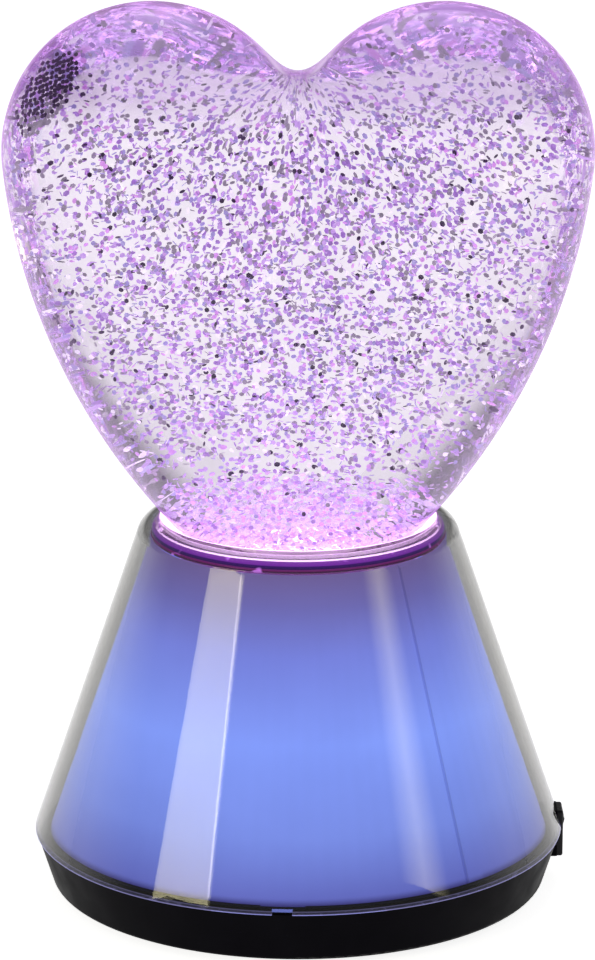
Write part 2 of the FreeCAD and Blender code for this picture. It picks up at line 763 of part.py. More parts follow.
def makeTray():
    body = newBody("base_tray")
    turned = revolved(body, [
        ("0", "foot_stand"),
        ("tray_radius", "foot_stand"),
        ("rim_radius", "lip_z"),
        ("collar_radius", "lip_z"),
        ("collar_radius - slope * collar_rise", "lip_z + collar_rise"),
        ("collar_radius - slope * collar_rise - collar_wall", "lip_z + collar_rise"),
        ("collar_radius - slope * film_start - collar_wall", "film_low - snug_gap"),
        ("collar_radius - slope * film_start - collar_wall - ledge_width", "film_low - snug_gap"),
        ("tray_radius - tray_wall", "floor_z"),
        ("0", "floor_z"),
    ])
    rounded(body, turned, "LowerEdge", "tray_fillet", ringEdge("tray_radius", "foot_stand"))

    walls = sketchOn(body, "XY_Plane", "BayOutline", "floor_z - root")
    rectangle(walls, "0 - bay_x / 2 - bay_wall", "0 - bay_y / 2 - bay_wall",
              "bay_x / 2 + bay_wall", "bay_y / 2 + bay_wall")
    padded(body, walls, "BayBlock", "ceiling_z + bay_wall - floor_z + root")
    lug = sketchOn(body, "XY_Plane", "LugOutline", "floor_z - root")
    circle(lug, "0", "lug_y", "lug_radius")
    padded(body, lug, "LugBoss", "lug_height")

    tongue = sketchOn(body, "YZ_Plane", "TongueOutline", "tongue_back")
    rectangle(tongue, "0 - bezel_width / 2", "bezel_low", "bezel_width / 2", "tongue_top")
    padded(body, tongue, "Tongue", "tongue_wall")
    flat = sketchOn(body, "YZ_Plane", "FlatOutline", "tongue_face")
    rectangle(flat, "0 - bezel_width / 2 - snug_gap", "bezel_low - snug_gap",
              "bezel_width / 2 + snug_gap", "tongue_top + snug_gap")
    pocketed(body, flat, "BezelFlat", "bezel_wall + overcut", forward=True)
    hole = sketchOn(body, "YZ_Plane", "SwitchOutline", "tongue_back - switch_depth")
    rectangle(hole, "0 - body_width / 2 - snug_gap", "switch_mid - body_height / 2 - snug_gap",
              "body_width / 2 + snug_gap", "switch_mid + body_height / 2 + snug_gap")
    pocketed(body, hole, "SwitchHole", "2 * switch_depth + tongue_wall", forward=True)

    relief = sketchOn(body, "XY_Plane", "ReliefOutline", "lip_z + collar_rise + root", "tab_turn")
    rectangle(relief, "collar_radius - collar_wall - ledge_width - overcut", "0 - relief_width / 2",
              "collar_radius + overcut", "relief_width / 2")
    gap = pocketed(body, relief, "CollarRelief", "collar_rise + root - tab_height")
    patterned(body, gap, relief, "CollarReliefs", "tab_count")
    tab = sketchOn(body, "XY_Plane", "TabOutline", "lip_z - root", "tab_turn")
    rectangle(tab, "collar_radius - collar_wall / 2", "0 - tab_width / 2", "rim_radius - rim_inset",
              "tab_width / 2")
    raised = padded(body, tab, "SnapTab", "tab_height + root")
    patterned(body, raised, tab, "SnapTabs", "tab_count")

    bay = sketchOn(body, "XY_Plane", "BayHollow", "ceiling_z")
    rectangle(bay, "0 - bay_x / 2", "0 - bay_y / 2", "bay_x / 2", "bay_y / 2")
    pocketed(body, bay, "Bay", "ceiling_z")
    recess = sketchOn(body, "XY_Plane", "DoorRecessOutline", "foot_stand + door_wall + door_gap")
    rectangle(recess, "0 - bay_x / 2 - door_ledge", "0 - bay_y / 2 - door_ledge",
              "bay_x / 2 + door_ledge", "bay_y / 2 + door_ledge")
    pocketed(body, recess, "DoorRecess", "door_wall + door_gap + foot_stand")
    earRecess = sketchOn(body, "XY_Plane", "EarRecessOutline", "foot_stand + door_wall + door_gap")
    circle(earRecess, "0", "lug_y", "lug_radius + door_gap")
    pocketed(body, earRecess, "EarRecess", "door_wall + door_gap + foot_stand")
    pilot = sketchOn(body, "XY_Plane", "LugPilotOutline", "floor_z + lug_height")
    circle(pilot, "0", "lug_y", "screw_radius + running_gap")
    pocketed(body, pilot, "LugPilot", "floor_z + lug_height")

    batteryLeadHoles(body, "ceiling_z + bay_wall + overcut", "bay_wall + 2 * overcut")
    foot = sketchOn(body, "XY_Plane", "FootOutline", "foot_stand + foot_sink", "foot_turn")
    circle(foot, "foot_circle", "0", "foot_radius")
    sunk = pocketed(body, foot, "FootRecess", "foot_sink + foot_stand")
    patterned(body, sunk, foot, "FootRecesses", "4")
    screw = sketchOn(body, "XY_Plane", "ScrewOutline", "floor_z + overcut", "post_turn")
    circle(screw, "post_circle", "0", "screw_radius + screw_gap")
    drilled = pocketed(body, screw, "ScrewHole", "floor_z + overcut")
    patterned(body, drilled, screw, "ScrewHoles", "tab_count")
    sink = sketchOn(body, "XY_Plane", "HeadOutline", "foot_stand + screw_head", "post_turn")
    circle(sink, "post_circle", "0", "screw_head_radius + screw_gap")
    counter = pocketed(body, sink, "HeadRecess", "screw_head + foot_stand")
    patterned(body, counter, sink, "HeadRecesses", "tab_count")


def makeFeet():
    feet = [cylinder(f"foot_{k}", "foot_radius", "foot_stand + foot_sink",
                     (*around("foot_circle", f"foot_turn + {90 * k}"), "0")) for k in range(4)]
    group("rubber_feet", feet)


def screwSolid(name, x, y, headLow, length):
    """A pan-head screw that points up, from the underside of its head."""
    head = cylinder(name + "_head", "screw_head_radius", "screw_head", (x, y, headLow))
    shank = cylinder(name + "_shank", "screw_radius", length, (x, y, f"{headLow} + screw_head"))
    return joined(name, [head, shank])


def makeScrews():
    base = [screwSolid(f"base_screw_{k}", *around("post_circle", f"post_turn + {k} * 360 / tab_count"),
                       "foot_stand", "deck_z - foot_stand - screw_head - screw_bite")
            for k in range(int(number("tab_count")))]
    group("base_screws", base)
    plug = [screwSolid(f"plug_screw_{k}", *around("clamp_circle", f"{k} * 360 / tab_count"),
                       "plug_z - screw_head", "flange_wall + screw_bite")
            for k in range(int(number("tab_count")))]
    group("plug_screws", plug)
    bracket = [screwSolid(f"bracket_screw_{k}",
                          *around("bracket_circle", f"bracket_turn + {k} * 360 / tab_count"),
                          "bracket_z - screw_head", "bracket_drop + flange_wall / 2")
               for k in range(int(number("tab_count")))]
    group("bracket_screws", bracket)


# Cells, contacts and the door

def makeCells():
    cans = []
    for k in range(int(number("cell_count"))):
        x = f"({k} - (cell_count - 1) / 2) * cell_pitch"
        way = 1 if k % 2 else -1
        start = f"0 - {way} * (cell_length + cell_nub) / 2"
        can = cylinder(f"cell_can_{k}", "cell_radius", "cell_length", (x, start, "cell_z"),
                       (1, 0, 0), str(-90 * way))
        nub = cylinder(f"cell_nub_{k}", "cell_nub_radius", "cell_nub",
                       (x, f"{start} + {way} * cell_length", "cell_z"), (1, 0, 0), str(-90 * way))
        cans.append(joined(f"cell_{k}", [can, nub]))
    group("battery_cells", cans)


coilSteps = 16


def makeContacts():
    plates = []
    for k in range(int(number("cell_count"))):
        for side in (-1, 1):
            name = f"plate_{k}_{'back' if side > 0 else 'front'}"
            low = "bay_y / 2 - plate_wall" if side > 0 else "0 - bay_y / 2"
            middle = f"({k} - (cell_count - 1) / 2) * cell_pitch"
            plates.append(block(name, (f"{middle} - plate_width / 2", low,
                                       "cell_z - plate_width / 2"),
                                ("plate_width", "plate_wall", "plate_width")))
    group("contact_plates", plates)
    springs = []
    wire = sizeOf("spring_wire")
    radius = sizeOf("spring_radius")
    skin = sizeOf("running_gap") / 2
    height = sizeOf("bay_end") - sizeOf("plate_wall") - 2 * wire - 2 * skin
    steps = int(sizeOf("spring_turns")) * coilSteps
    spots = []
    for k in range(steps + 1):
        turn = 2 * math.pi * k / coilSteps
        spots.append(Vector(radius * math.cos(turn), radius * math.sin(turn), height * k / steps))
    coil = Part.BSplineCurve()
    coil.interpolate(spots)
    path = Part.Wire(coil.toShape())
    section = Part.Wire(Part.makeCircle(wire, spots[0], coil.tangent(coil.FirstParameter)[0]))
    for k in range(int(number("cell_count"))):
        way = 1 if k % 2 else -1
        spring = path.makePipeShell([section], True, True)
        middle = Vector((k - (sizeOf("cell_count") - 1) / 2) * sizeOf("cell_pitch"),
                        -way * (sizeOf("bay_y") / 2 - sizeOf("plate_wall") - wire - skin),
                        sizeOf("cell_z"))
        spring.Placement = Placement(middle, Rotation(Vector(1, 0, 0), -90 * way))
        springs.append(spring)
    feature("battery_springs", Part.makeCompound(springs))


def makeDoor():
    body = newBody("battery_door")
    plate = sketchOn(body, "XY_Plane", "PlateOutline", "foot_stand")
    rectangle(plate, "0 - door_x", "0 - door_y", "door_x", "door_y")
    padded(body, plate, "Plate", "door_wall")
    ear = sketchOn(body, "XY_Plane", "EarOutline", "foot_stand")
    circle(ear, "0", "lug_y", "lug_radius")
    padded(body, ear, "Ear", "door_wall")
    hole = sketchOn(body, "XY_Plane", "HoleOutline", "foot_stand + door_wall + overcut")
    circle(hole, "0", "lug_y", "screw_radius + screw_gap")
    pocketed(body, hole, "ScrewHole", "door_wall + 2 * overcut")
    sink = sketchOn(body, "XY_Plane", "HeadOutline", "foot_stand + door_screw_head")
    circle(sink, "0", "lug_y", "screw_head_radius + screw_gap")
    pocketed(body, sink, "HeadRecess", "door_screw_head + overcut")
    for k in range(int(number("grip_count"))):
        low = f"0 - grip_start + {k} * grip_pitch"
        grip = sketchOn(body, "XY_Plane", f"GripOutline{k}", "foot_stand + grip_depth")
        rectangle(grip, "0 - grip_length / 2", low, "grip_length / 2", f"{low} + grip_width")
        pocketed(body, grip, f"Grip{k}", "grip_depth + overcut")
    head = cylinder("door_screw_head_disc", "screw_head_radius", "door_screw_head",
                    ("0", "lug_y", "foot_stand"))
    shank = cylinder("door_screw_shank", "screw_radius", "door_screw_length",
                     ("0", "lug_y", "foot_stand + door_screw_head"))
    joined("door_screw", [head, shank])


# Light deck and boards

def makeDeck():
    body = newBody("light_deck")
    revolved(body, [("0", "deck_z"), ("deck_radius", "deck_z"), ("deck_radius", "deck_top"),
                    ("0", "deck_top")])
    post = sketchOn(body, "XY_Plane", "PostOutline", "floor_z", "post_turn")
    circle(post, "post_circle", "0", "post_radius")
    circle(post, "post_circle", "0", "screw_radius + screw_gap")
    raised = padded(body, post, "Post", "deck_z - floor_z + deck_wall / 2")
    patterned(body, raised, post, "Posts", "tab_count")
    slotted = sketchOn(body, "XY_Plane", "LeadHoleOutline", "deck_top + overcut")
    rectangle(slotted, "lead_hole_start", "0 - lead_hole_width / 2",
              "lead_hole_start + lead_hole_length", "lead_hole_width / 2")
    pocketed(body, slotted, "LeadHole", "deck_wall + 2 * overcut")
    batteryLeadHoles(body, "deck_top + overcut", "deck_wall + 2 * overcut")


def domeLamp(name, x, y, low, height):
    """A round lamp with a domed end."""
    can = cylinder(name + "_can", "lamp_radius", f"{height} - lamp_radius", (x, y, low))
    dome = primitive("Sphere", name + "_dome", {"Radius": "lamp_radius"},
                     (x, y, f"{low} + {height} - lamp_radius"))
    dome.Angle1 = 0
    return joined(name, [can, dome])


def makeLights():
    low = newBody("lower_light_board")
    revolved(low, [("low_board_inner", "deck_top"), ("low_board_outer", "deck_top"),
                   ("low_board_outer", "deck_top + board_wall"),
                   ("low_board_inner", "deck_top + board_wall")])
    batteryLeadHoles(low, "deck_top + board_wall + overcut", "board_wall + 2 * overcut")
    lamps = [domeLamp(f"low_lamp_{k}", *around("lamp_circle", f"post_turn + {k} * 360 / lamp_count"),
                      "deck_top + board_wall", "lamp_height")
             for k in range(int(number("lamp_count")))]
    group("lower_lamps", lamps)
    high = newBody("upper_light_board")
    revolved(high, [("high_board_inner", "bracket_z + bracket_wall"),
                    ("high_board_outer", "bracket_z + bracket_wall"),
                    ("high_board_outer", "bracket_z + bracket_wall + board_wall"),
                    ("high_board_inner", "bracket_z + bracket_wall + board_wall")])
    lamps = [domeLamp(f"high_lamp_{k}", *around("high_lamp_circle", f"{k} * 360 / lamp_count"),
                      "bracket_z + bracket_wall + board_wall", "high_lamp_height")
             for k in range(int(number("lamp_count")))]
    group("upper_lamps", lamps)


def makeControlBoard():
    board = block("board_plate", ("0 - control_length / 2", "0 - control_width / 2",
                                  "board_z - board_wall"),
                  ("control_length", "control_width", "board_wall"))
    stands = [cylinder(f"stand_{k}", "stand_radius", "control_lift + board_wall / 2",
                       (f"{sx} * (control_length / 2 - stand_inset)",
                        f"{sy} * (control_width / 2 - stand_inset)", "deck_top"))
              for k, (sx, sy) in enumerate(((-1, -1), (1, -1), (1, 1), (-1, 1)))]
    joined("control_board", [board] + stands)
    chip = block("chip", ("0 - chip_length / 2", "0 - chip_width / 2", "board_z"),
                 ("chip_length", "chip_width", "chip_height"))
    can = cylinder("capacitor", "capacitor_radius", "capacitor_height",
                   ("chip_length / 2 + 2 * capacitor_radius", "chip_width / 2", "board_z"))
    crystal = block("crystal", ("0 - chip_length / 2 - 2 * crystal_width", "0 - crystal_length / 2",
                                "board_z"), ("crystal_width", "crystal_length", "chip_height"))
    resistors = [block(f"resistor_{k}",
                       (f"({k} - 1.5) * resistor_pitch", "0 - chip_width / 2 - 3 * resistor_width",
                        "board_z"),
                       ("resistor_length", "resistor_width", "resistor_width / 2"))
                 for k in range(4)]
    group("board_components", [chip, can, crystal] + resistors)


# Plug, motor and impeller

def makePlug():
    body = newBody("globe_plug")
    groove = "bore_radius - 2 * seal_section - screw_gap"
    low = "seal_z - seal_section - screw_gap"
    high = "seal_z + seal_section + screw_gap"
    revolved(body, [
        ("0", "plug_z"),
        ("plug_flange", "plug_z"),
        ("plug_flange", "neck_z"),
        ("plug_radius", "neck_z"),
        ("plug_radius", low),
        (groove, low),
        (groove, high),
        ("plug_radius", high),
        ("plug_radius", "plug_top"),
        ("0", "plug_top"),
    ])
    clear = sketchOn(body, "XY_Plane", "ClampOutline", "neck_z + overcut")
    circle(clear, "clamp_circle", "0", "screw_radius + screw_gap")
    bored = pocketed(body, clear, "ClampHole", "flange_wall + 2 * overcut")
    patterned(body, bored, clear, "ClampHoles", "tab_count")
    pilots = sketchOn(body, "XY_Plane", "BracketOutline", "plug_z", "bracket_turn")
    circle(pilots, "bracket_circle", "0", "screw_radius + screw_gap")
    drilled = pocketed(body, pilots, "BracketPilot", "flange_wall / 2 + root", forward=True)
    patterned(body, drilled, pilots, "BracketPilots", "tab_count")
    seat = sketchOn(body, "XY_Plane", "PinOutline", "plug_top")
    circle(seat, "0", "0", "pin_radius + screw_gap / 2")
    pocketed(body, seat, "PinSeat", "pin_seat")
    primitive("Torus", "plug_seal", {"Radius1": "bore_radius - seal_section - screw_gap / 2",
                                     "Radius2": "seal_section"}, ("0", "0", "seal_z"))
    cylinder("impeller_pin", "pin_radius", "pin_seat + hub_gap + hub_wall + cone_height + pin_radius",
             ("0", "0", "plug_top - pin_seat"))


def makeBracket():
    body = newBody("motor_bracket")
    revolved(body, [("motor_nose + snug_gap", "bracket_z"), ("bracket_radius", "bracket_z"),
                    ("bracket_radius", "bracket_z + bracket_wall"),
                    ("motor_nose + snug_gap", "bracket_z + bracket_wall")])
    post = sketchOn(body, "XY_Plane", "PostOutline", "bracket_z + bracket_wall / 2", "bracket_turn")
    circle(post, "bracket_circle", "0", "post_radius")
    raised = padded(body, post, "Post", "plug_z - bracket_z - bracket_wall / 2")
    patterned(body, raised, post, "Posts", "tab_count")
    hole = sketchOn(body, "XY_Plane", "HoleOutline", "plug_z + overcut", "bracket_turn")
    circle(hole, "bracket_circle", "0", "screw_radius + screw_gap")
    bored = pocketed(body, hole, "Hole", "bracket_drop + 2 * overcut")
    patterned(body, bored, hole, "Holes", "tab_count")


def makeMotor():
    can = newBody("motor_can")
    revolved(can, [
        ("shaft_radius + running_gap", "motor_top - can_wall"),
        ("shaft_radius + running_gap", "motor_top + nose_height"),
        ("motor_nose", "motor_top + nose_height"),
        ("motor_nose", "motor_top"),
        ("motor_radius", "motor_top"),
        ("motor_radius", "motor_low"),
        ("motor_radius - can_wall", "motor_low"),
        ("motor_radius - can_wall", "motor_top - can_wall"),
    ])
    cap = newBody("motor_end_cap")
    revolved(cap, [
        ("0", "motor_low - cap_wall / 2"),
        ("motor_nose", "motor_low - cap_wall / 2"),
        ("motor_nose", "motor_low"),
        ("motor_radius - can_wall - screw_gap", "motor_low"),
        ("motor_radius - can_wall - screw_gap", "motor_low + cap_wall"),
        ("shaft_radius + running_gap", "motor_low + cap_wall"),
        ("shaft_radius + running_gap", "motor_low"),
        ("0", "motor_low"),
    ])
    pins = [block(f"motor_terminal_{k}", (f"{side} * terminal_spread - terminal_wall / 2",
                                          "0 - terminal_width / 2", "motor_low - terminal_drop"),
                  ("terminal_wall", "terminal_width", "terminal_drop"))
            for k, side in enumerate((-1, 1))]
    group("motor_terminals", pins)


def makeRotor():
    cylinder("motor_shaft", "shaft_radius", "carrier_z + carrier_wall - motor_low - 2 * running_gap",
             ("0", "0", "motor_low + running_gap"))
    body = newBody("magnet_carrier")
    revolved(body, [("shaft_radius", "carrier_z"), ("carrier_radius", "carrier_z"),
                    ("carrier_radius", "carrier_z + carrier_wall"),
                    ("shaft_radius", "carrier_z + carrier_wall")])
    pocket = sketchOn(body, "XY_Plane", "MagnetOutline", "carrier_z + carrier_wall")
    circle(pocket, "magnet_circle", "0", "magnet_radius")
    sunk = pocketed(body, pocket, "MagnetPocket", "magnet_wall")
    patterned(body, sunk, pocket, "MagnetPockets", "2")
    group("drive_magnets", [cylinder(f"drive_magnet_{k}", "magnet_radius", "magnet_wall",
                                     (*around("magnet_circle", str(180 * k)),
                                      "carrier_z + carrier_wall - magnet_wall")) for k in range(2)])
    core = newBody("rotor_core")
    low = "motor_low + cap_wall + core_gap"
    high = "motor_top - can_wall - core_gap"
    revolved(core, [("shaft_radius", low), ("core_radius", low), ("core_radius", high),
                    ("shaft_radius", high)])


def makeImpeller():
    body = newBody("impeller")
    revolved(body, [("pin_radius + running_gap", "hub_z"), ("hub_radius", "hub_z"),
                    ("hub_radius", "blade_z"), ("cone_radius", "blade_z + cone_height"),
                    ("pin_radius + running_gap", "blade_z + cone_height")])
    blade = sketchOn(body, "XY_Plane", "BladeOutline", "hub_z + blade_wall / 2")
    rectangle(blade, "cone_radius", "0 - blade_wall / 2", "blade_radius", "blade_wall / 2")
    raised = padded(body, blade, "Blade", "hub_wall + blade_height - blade_wall / 2")
    patterned(body, raised, blade, "Blades", "blade_count")
    pocket = sketchOn(body, "XY_Plane", "MagnetOutline", "hub_z", "magnet_turn")
    circle(pocket, "magnet_circle", "0", "magnet_radius")
    sunk = pocketed(body, pocket, "MagnetPocket", "magnet_wall", forward=True)
    patterned(body, sunk, pocket, "MagnetPockets", "2")
    group("impeller_magnets", [cylinder(f"impeller_magnet_{k}", "magnet_radius", "magnet_wall",
                                        (*around("magnet_circle", f"magnet_turn + {180 * k}"), "hub_z"))
                               for k in range(2)])


# The switch

def makeSwitch():
    body = newBody("switch_housing")
    bezel = sketchOn(body, "YZ_Plane", "BezelOutline", "tongue_face")
    rectangle(bezel, "0 - bezel_width / 2", "bezel_low", "bezel_width / 2", "tongue_top")
    proud = padded(body, bezel, "Bezel", "bezel_wall")
    face = number("switch_face")
    rounded(body, proud, "BezelEdges", "bezel_round", lambda edge: abs(edge.BoundBox.XMax - face) < 0.01)
    case = sketchOn(body, "YZ_Plane", "CaseOutline", "tongue_face - switch_depth")
    rectangle(case, "0 - body_width / 2", "switch_mid - body_height / 2",
              "body_width / 2", "switch_mid + body_height / 2")
    padded(body, case, "Case", "switch_depth + bezel_wall / 2")
    well = sketchOn(body, "YZ_Plane", "WellOutline", "tongue_face - switch_depth + switch_wall")
    rectangle(well, "0 - well_width / 2", "switch_mid - well_height / 2",
              "well_width / 2", "switch_mid + well_height / 2")
    pocketed(body, well, "Well", "switch_depth + bezel_wall + overcut", forward=True)
    pivot = sketchOn(body, "XZ_Plane", "PivotOutline", "0 - body_width / 2 - overcut")
    circle(pivot, "switch_face - pivot_depth", "switch_mid", "pivot_radius + running_gap")
    pocketed(body, pivot, "PivotHole", "body_width + 2 * overcut", forward=True)
    pins = [block(f"switch_terminal_{k}",
                  ("terminal_end", "0 - terminal_width / 2",
                   f"switch_mid - terminal_wall / 2 + {k - 1} * terminal_pitch"),
                  ("terminal_length", "terminal_width", "terminal_wall")) for k in range(3)]
    group("switch_terminals", pins)


def makeRocker():
    """Two faces that meet at the throw angle, turned so that the upper end stands out."""
    body = newBody("switch_rocker")
    half = "(well_height / 2 - rocker_gap)"
    drop = f"{half} * tan(rocker_throw / 2)"
    face = "pivot_depth - rocker_sink"
    sketch = sketchOn(body, "XZ_Plane", "FaceOutline", "well_width / 2 - rocker_gap")
    outline(sketch, [
        ("0 - 2 * pivot_radius", "0 - 2.5 * pivot_radius"),
        ("0", f"0 - {half} + rocker_round"),
        (f"{face} + {drop} - rocker_round", f"0 - {half}"),
        (f"{face} + {drop}", f"0 - {half} + rocker_round"),
        (face, "0"),
        (f"{face} + {drop}", f"{half} - rocker_round"),
        (f"{face} + {drop} - rocker_round", half),
        ("0", f"{half} - rocker_round"),
        ("0 - 2 * pivot_radius", "2.5 * pivot_radius"),
    ])
    padded(body, sketch, "Face", "well_width - 2 * rocker_gap", down=True)
    pivot = sketchOn(body, "XZ_Plane", "PivotOutline", "body_width / 2 - snug_gap")
    circle(pivot, "0", "0", "pivot_radius")
    padded(body, pivot, "Pivot", "body_width - 2 * snug_gap", down=True)
    body.Placement = Placement(Vector(), Rotation(Vector(0, 1, 0), number("rocker_throw / 2")))
    body.setExpression("Placement.Base.x", cells("switch_face - pivot_depth"))
    body.setExpression("Placement.Base.z", cells("switch_mid"))


# Leads

def leadPath(points):
    """Straight runs through the points, joined by arcs as large as the runs allow."""
    edges = []
    here = points[0]
    for before, corner, after in zip(points, points[1:], points[2:]):
        inward = (corner - before).normalize()
        outward = (after - corner).normalize()
        half = inward.getAngle(outward) / 2
        cutBack = 0.45 * min((corner - before).Length, (after - corner).Length)
        start = corner - inward * cutBack
        end = corner + outward * cutBack
        toward = (outward - inward).normalize()
        radius = cutBack / math.tan(half)
        middle = corner + toward * (radius / math.cos(half) - radius)
        edges.append(Part.makeLine(here, start))
        edges.append(Part.Arc(start, middle, end).toShape())
        here = end
    edges.append(Part.makeLine(here, points[-1]))
    return Part.Wire(edges)


def lead(points):
    """One insulated lead along its route."""
    path = leadPath(points)
    radius = sizeOf("lead_radius")
    ring = Part.Wire(Part.makeCircle(radius, points[0], points[1] - points[0]))
    tube = path.makePipeShell([ring], True, False)
    wanted = math.pi * radius ** 2 * path.Length
    print(f"lead of {path.Length:.0f} mm, volume {tube.Volume:.1f} of {wanted:.1f} mm3")
    return tube


def makeLeads():
    skin = sizeOf("screw_gap")
    board = sizeOf("board_z") + skin
    boardX = sizeOf("control_length") / 2 - sizeOf("socket_inset")
    back = sizeOf("terminal_end") - skin
    mid = sizeOf("switch_mid")
    hole = sizeOf("lead_hole_start") + sizeOf("lead_hole_length") / 2
    switchLeads = []
    for side in (-1, 1):
        low = mid + side * sizeOf("terminal_pitch")
        switchLeads.append(lead([
            Vector(back, 0, low),
            Vector(back - 5, 0, low),
            Vector(hole, 1.6 * side, low + 4 - side),
            Vector(hole - 1, 2.4 * side, board + 6),
            Vector(hole - 11, 3 * side, board + 13),
            Vector(boardX + 6, 3.4 * side, board + 12),
            Vector(boardX, 3.6 * side, board + 7),
            Vector(boardX, 3.6 * side, board),
        ]))
    feature("switch_leads", Part.makeCompound(switchLeads))
    motor = sizeOf("motor_low") - sizeOf("terminal_drop") - skin
    spread = sizeOf("terminal_spread")
    motorLeads = [lead([
        Vector(side * spread, 0, motor),
        Vector(side * spread, 0, motor - 4),
        Vector(side * (spread + 0.5), -5, motor - 9),
        Vector(side * 7, -9.6, board + 6),
        Vector(side * 7, -9.6, board),
    ]) for side in (-1, 1)]
    feature("motor_leads", Part.makeCompound(motorLeads))
    shelf = sizeOf("bracket_z") + sizeOf("bracket_wall") + sizeOf("board_wall") + skin
    edge = sizeOf("high_board_outer") - 2
    outer = sizeOf("bracket_radius") + 3.5
    lampLeads = [lead([
        Vector(edge, 3 * side, shelf),
        Vector(edge, 3 * side, shelf + 2.6),
        Vector(edge + 5, 3 * side, shelf + 3.2),
        Vector(outer, 3.4 * side, shelf - 1),
        Vector(outer, 4 * side, shelf - 12),
        Vector(outer - 3, 5 * side, shelf - 24),
        Vector(boardX + 4, 7 * side, board + 12),
        Vector(boardX - 3, 7.5 * side, board + 6),
        Vector(boardX - 3, 7.5 * side, board),
    ]) for side in (-1, 1)]
    feature("lamp_leads", Part.makeCompound(lampLeads))
    plateTop = sizeOf("cell_z") + sizeOf("plate_width") / 2 + skin
    boardY = sizeOf("control_width") / 2 - sizeOf("board_inset")
    x = sizeOf("cell_pitch")
    y = sizeOf("lead_y")
    batteryLeads = [lead([
        Vector(side * x, side * y, plateTop),
        Vector(side * x, side * y, plateTop + 12),
        Vector(side * x, side * (y - 6), board + 8),
        Vector(side * x, side * boardY, board + 7),
        Vector(side * x, side * boardY, board),
    ]) for side in (-1, 1)]
    feature("battery_leads", Part.makeCompound(batteryLeads))


makeHeart()
makeFlakes()
makeNeckRing()
makeShell()
makeDiffuser()
makeTray()
makeFeet()
makeScrews()
makeCells()
makeContacts()
makeDoor()
makeDeck()
makeLights()
makeControlBoard()
makePlug()
makeBracket()
makeMotor()
makeRotor()
makeImpeller()
makeSwitch()
makeRocker()
makeLeads()

nodes = [
    "heart_front_half", "heart_rear_half", "liquid_fill", "glitter_flakes", "neck_ring", "outer_shell",
    "diffuser_sleeve", "base_tray", "rubber_feet", "base_screws", "plug_screws", "bracket_screws",
    "battery_cells", "contact_plates", "battery_springs", "battery_door", "door_screw", "light_deck",
    "lower_light_board", "lower_lamps", "upper_light_board", "upper_lamps", "control_board",
    "board_components", "globe_plug", "plug_seal", "impeller_pin", "motor_bracket", "motor_can",
    "motor_end_cap", "motor_terminals", "motor_shaft", "rotor_core", "magnet_carrier", "drive_magnets",
    "impeller", "impeller_magnets", "switch_housing", "switch_terminals", "switch_rocker",
    "switch_leads", "motor_leads", "lamp_leads", "battery_leads",
]

sheet.clear(scratchCell)
doc.recompute()
faults = []
for item in doc.Objects:
    if "Invalid" in item.State or "Error" in item.State:
        faults.append(f"{item.Name} is {item.State}")
for node in nodes:
    shape = doc.getObject(node).Shape
    if shape.isNull() or not shape.isValid():
        faults.append(f"{node} has no valid shape")
if faults:
    raise RuntimeError("; ".join(faults))

os.makedirs("parts", exist_ok=True)
for node in nodes:
    piece = doc.getObject(node)
    piece.Shape.exportStep(f"parts/{node}.step")
    box = piece.Shape.BoundBox
    print(f"{node}: {len(piece.Shape.Solids)} solids, {piece.Shape.Volume / 1000:.2f} cm3, "
          f"Z {box.ZMin:.1f} to {box.ZMax:.1f}")
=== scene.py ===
import json
import math
import random

import bmesh
import bpy
from mathutils import Matrix, Vector
from mathutils.bvhtree import BVHTree

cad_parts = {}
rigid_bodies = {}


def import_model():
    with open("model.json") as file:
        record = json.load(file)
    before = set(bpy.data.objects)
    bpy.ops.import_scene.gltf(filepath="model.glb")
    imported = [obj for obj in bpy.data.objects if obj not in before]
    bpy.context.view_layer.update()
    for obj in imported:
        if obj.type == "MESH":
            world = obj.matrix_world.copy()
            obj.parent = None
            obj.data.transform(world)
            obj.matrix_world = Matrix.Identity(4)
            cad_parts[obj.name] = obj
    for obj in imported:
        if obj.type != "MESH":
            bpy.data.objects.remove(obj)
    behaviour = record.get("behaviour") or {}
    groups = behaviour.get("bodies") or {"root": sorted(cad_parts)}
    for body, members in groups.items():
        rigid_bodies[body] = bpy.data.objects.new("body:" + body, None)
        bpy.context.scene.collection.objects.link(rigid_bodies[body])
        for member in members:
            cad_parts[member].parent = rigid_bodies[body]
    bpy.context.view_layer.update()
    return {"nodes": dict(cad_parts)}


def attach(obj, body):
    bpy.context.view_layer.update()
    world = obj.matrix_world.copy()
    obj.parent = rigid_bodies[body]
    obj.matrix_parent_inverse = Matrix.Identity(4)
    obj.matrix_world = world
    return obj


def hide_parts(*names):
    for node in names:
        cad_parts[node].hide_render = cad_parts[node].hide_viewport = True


# Glitter lamp, in metres. Z is up, the heart faces -Y and the switch is at +X.

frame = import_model()
cadNodes = frame["nodes"]
print("frame loaded")


# Small helpers

def rgb(red, green, blue):  # a screen colour, 0 to 255, as linear light
    def linear(value):
        share = value / 255
        return share / 12.92 if share <= 0.04045 else ((share + 0.055) / 1.055) ** 2.4
    return linear(red), linear(green), linear(blue), 1.0


def makePiece(name, bm, material, body="lamp", standsFor=(), sharpAngle=35):
    mesh = bpy.data.meshes.new(name)
    bm.to_mesh(mesh)
    bm.free()
    mesh.materials.append(material)
    if sharpAngle:
        mesh.shade_smooth()
        mesh.set_sharp_from_angle(angle=math.radians(sharpAngle))
    piece = bpy.data.objects.new(name, mesh)
    bpy.context.scene.collection.objects.link(piece)
    if body:
        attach(piece, body)
    if standsFor:
        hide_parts(*standsFor)
    return piece


def newMaterial(name):
    material = bpy.data.materials.new(name)
    material.use_nodes = True
    return material, material.node_tree, material.node_tree.nodes["Principled BSDF"]


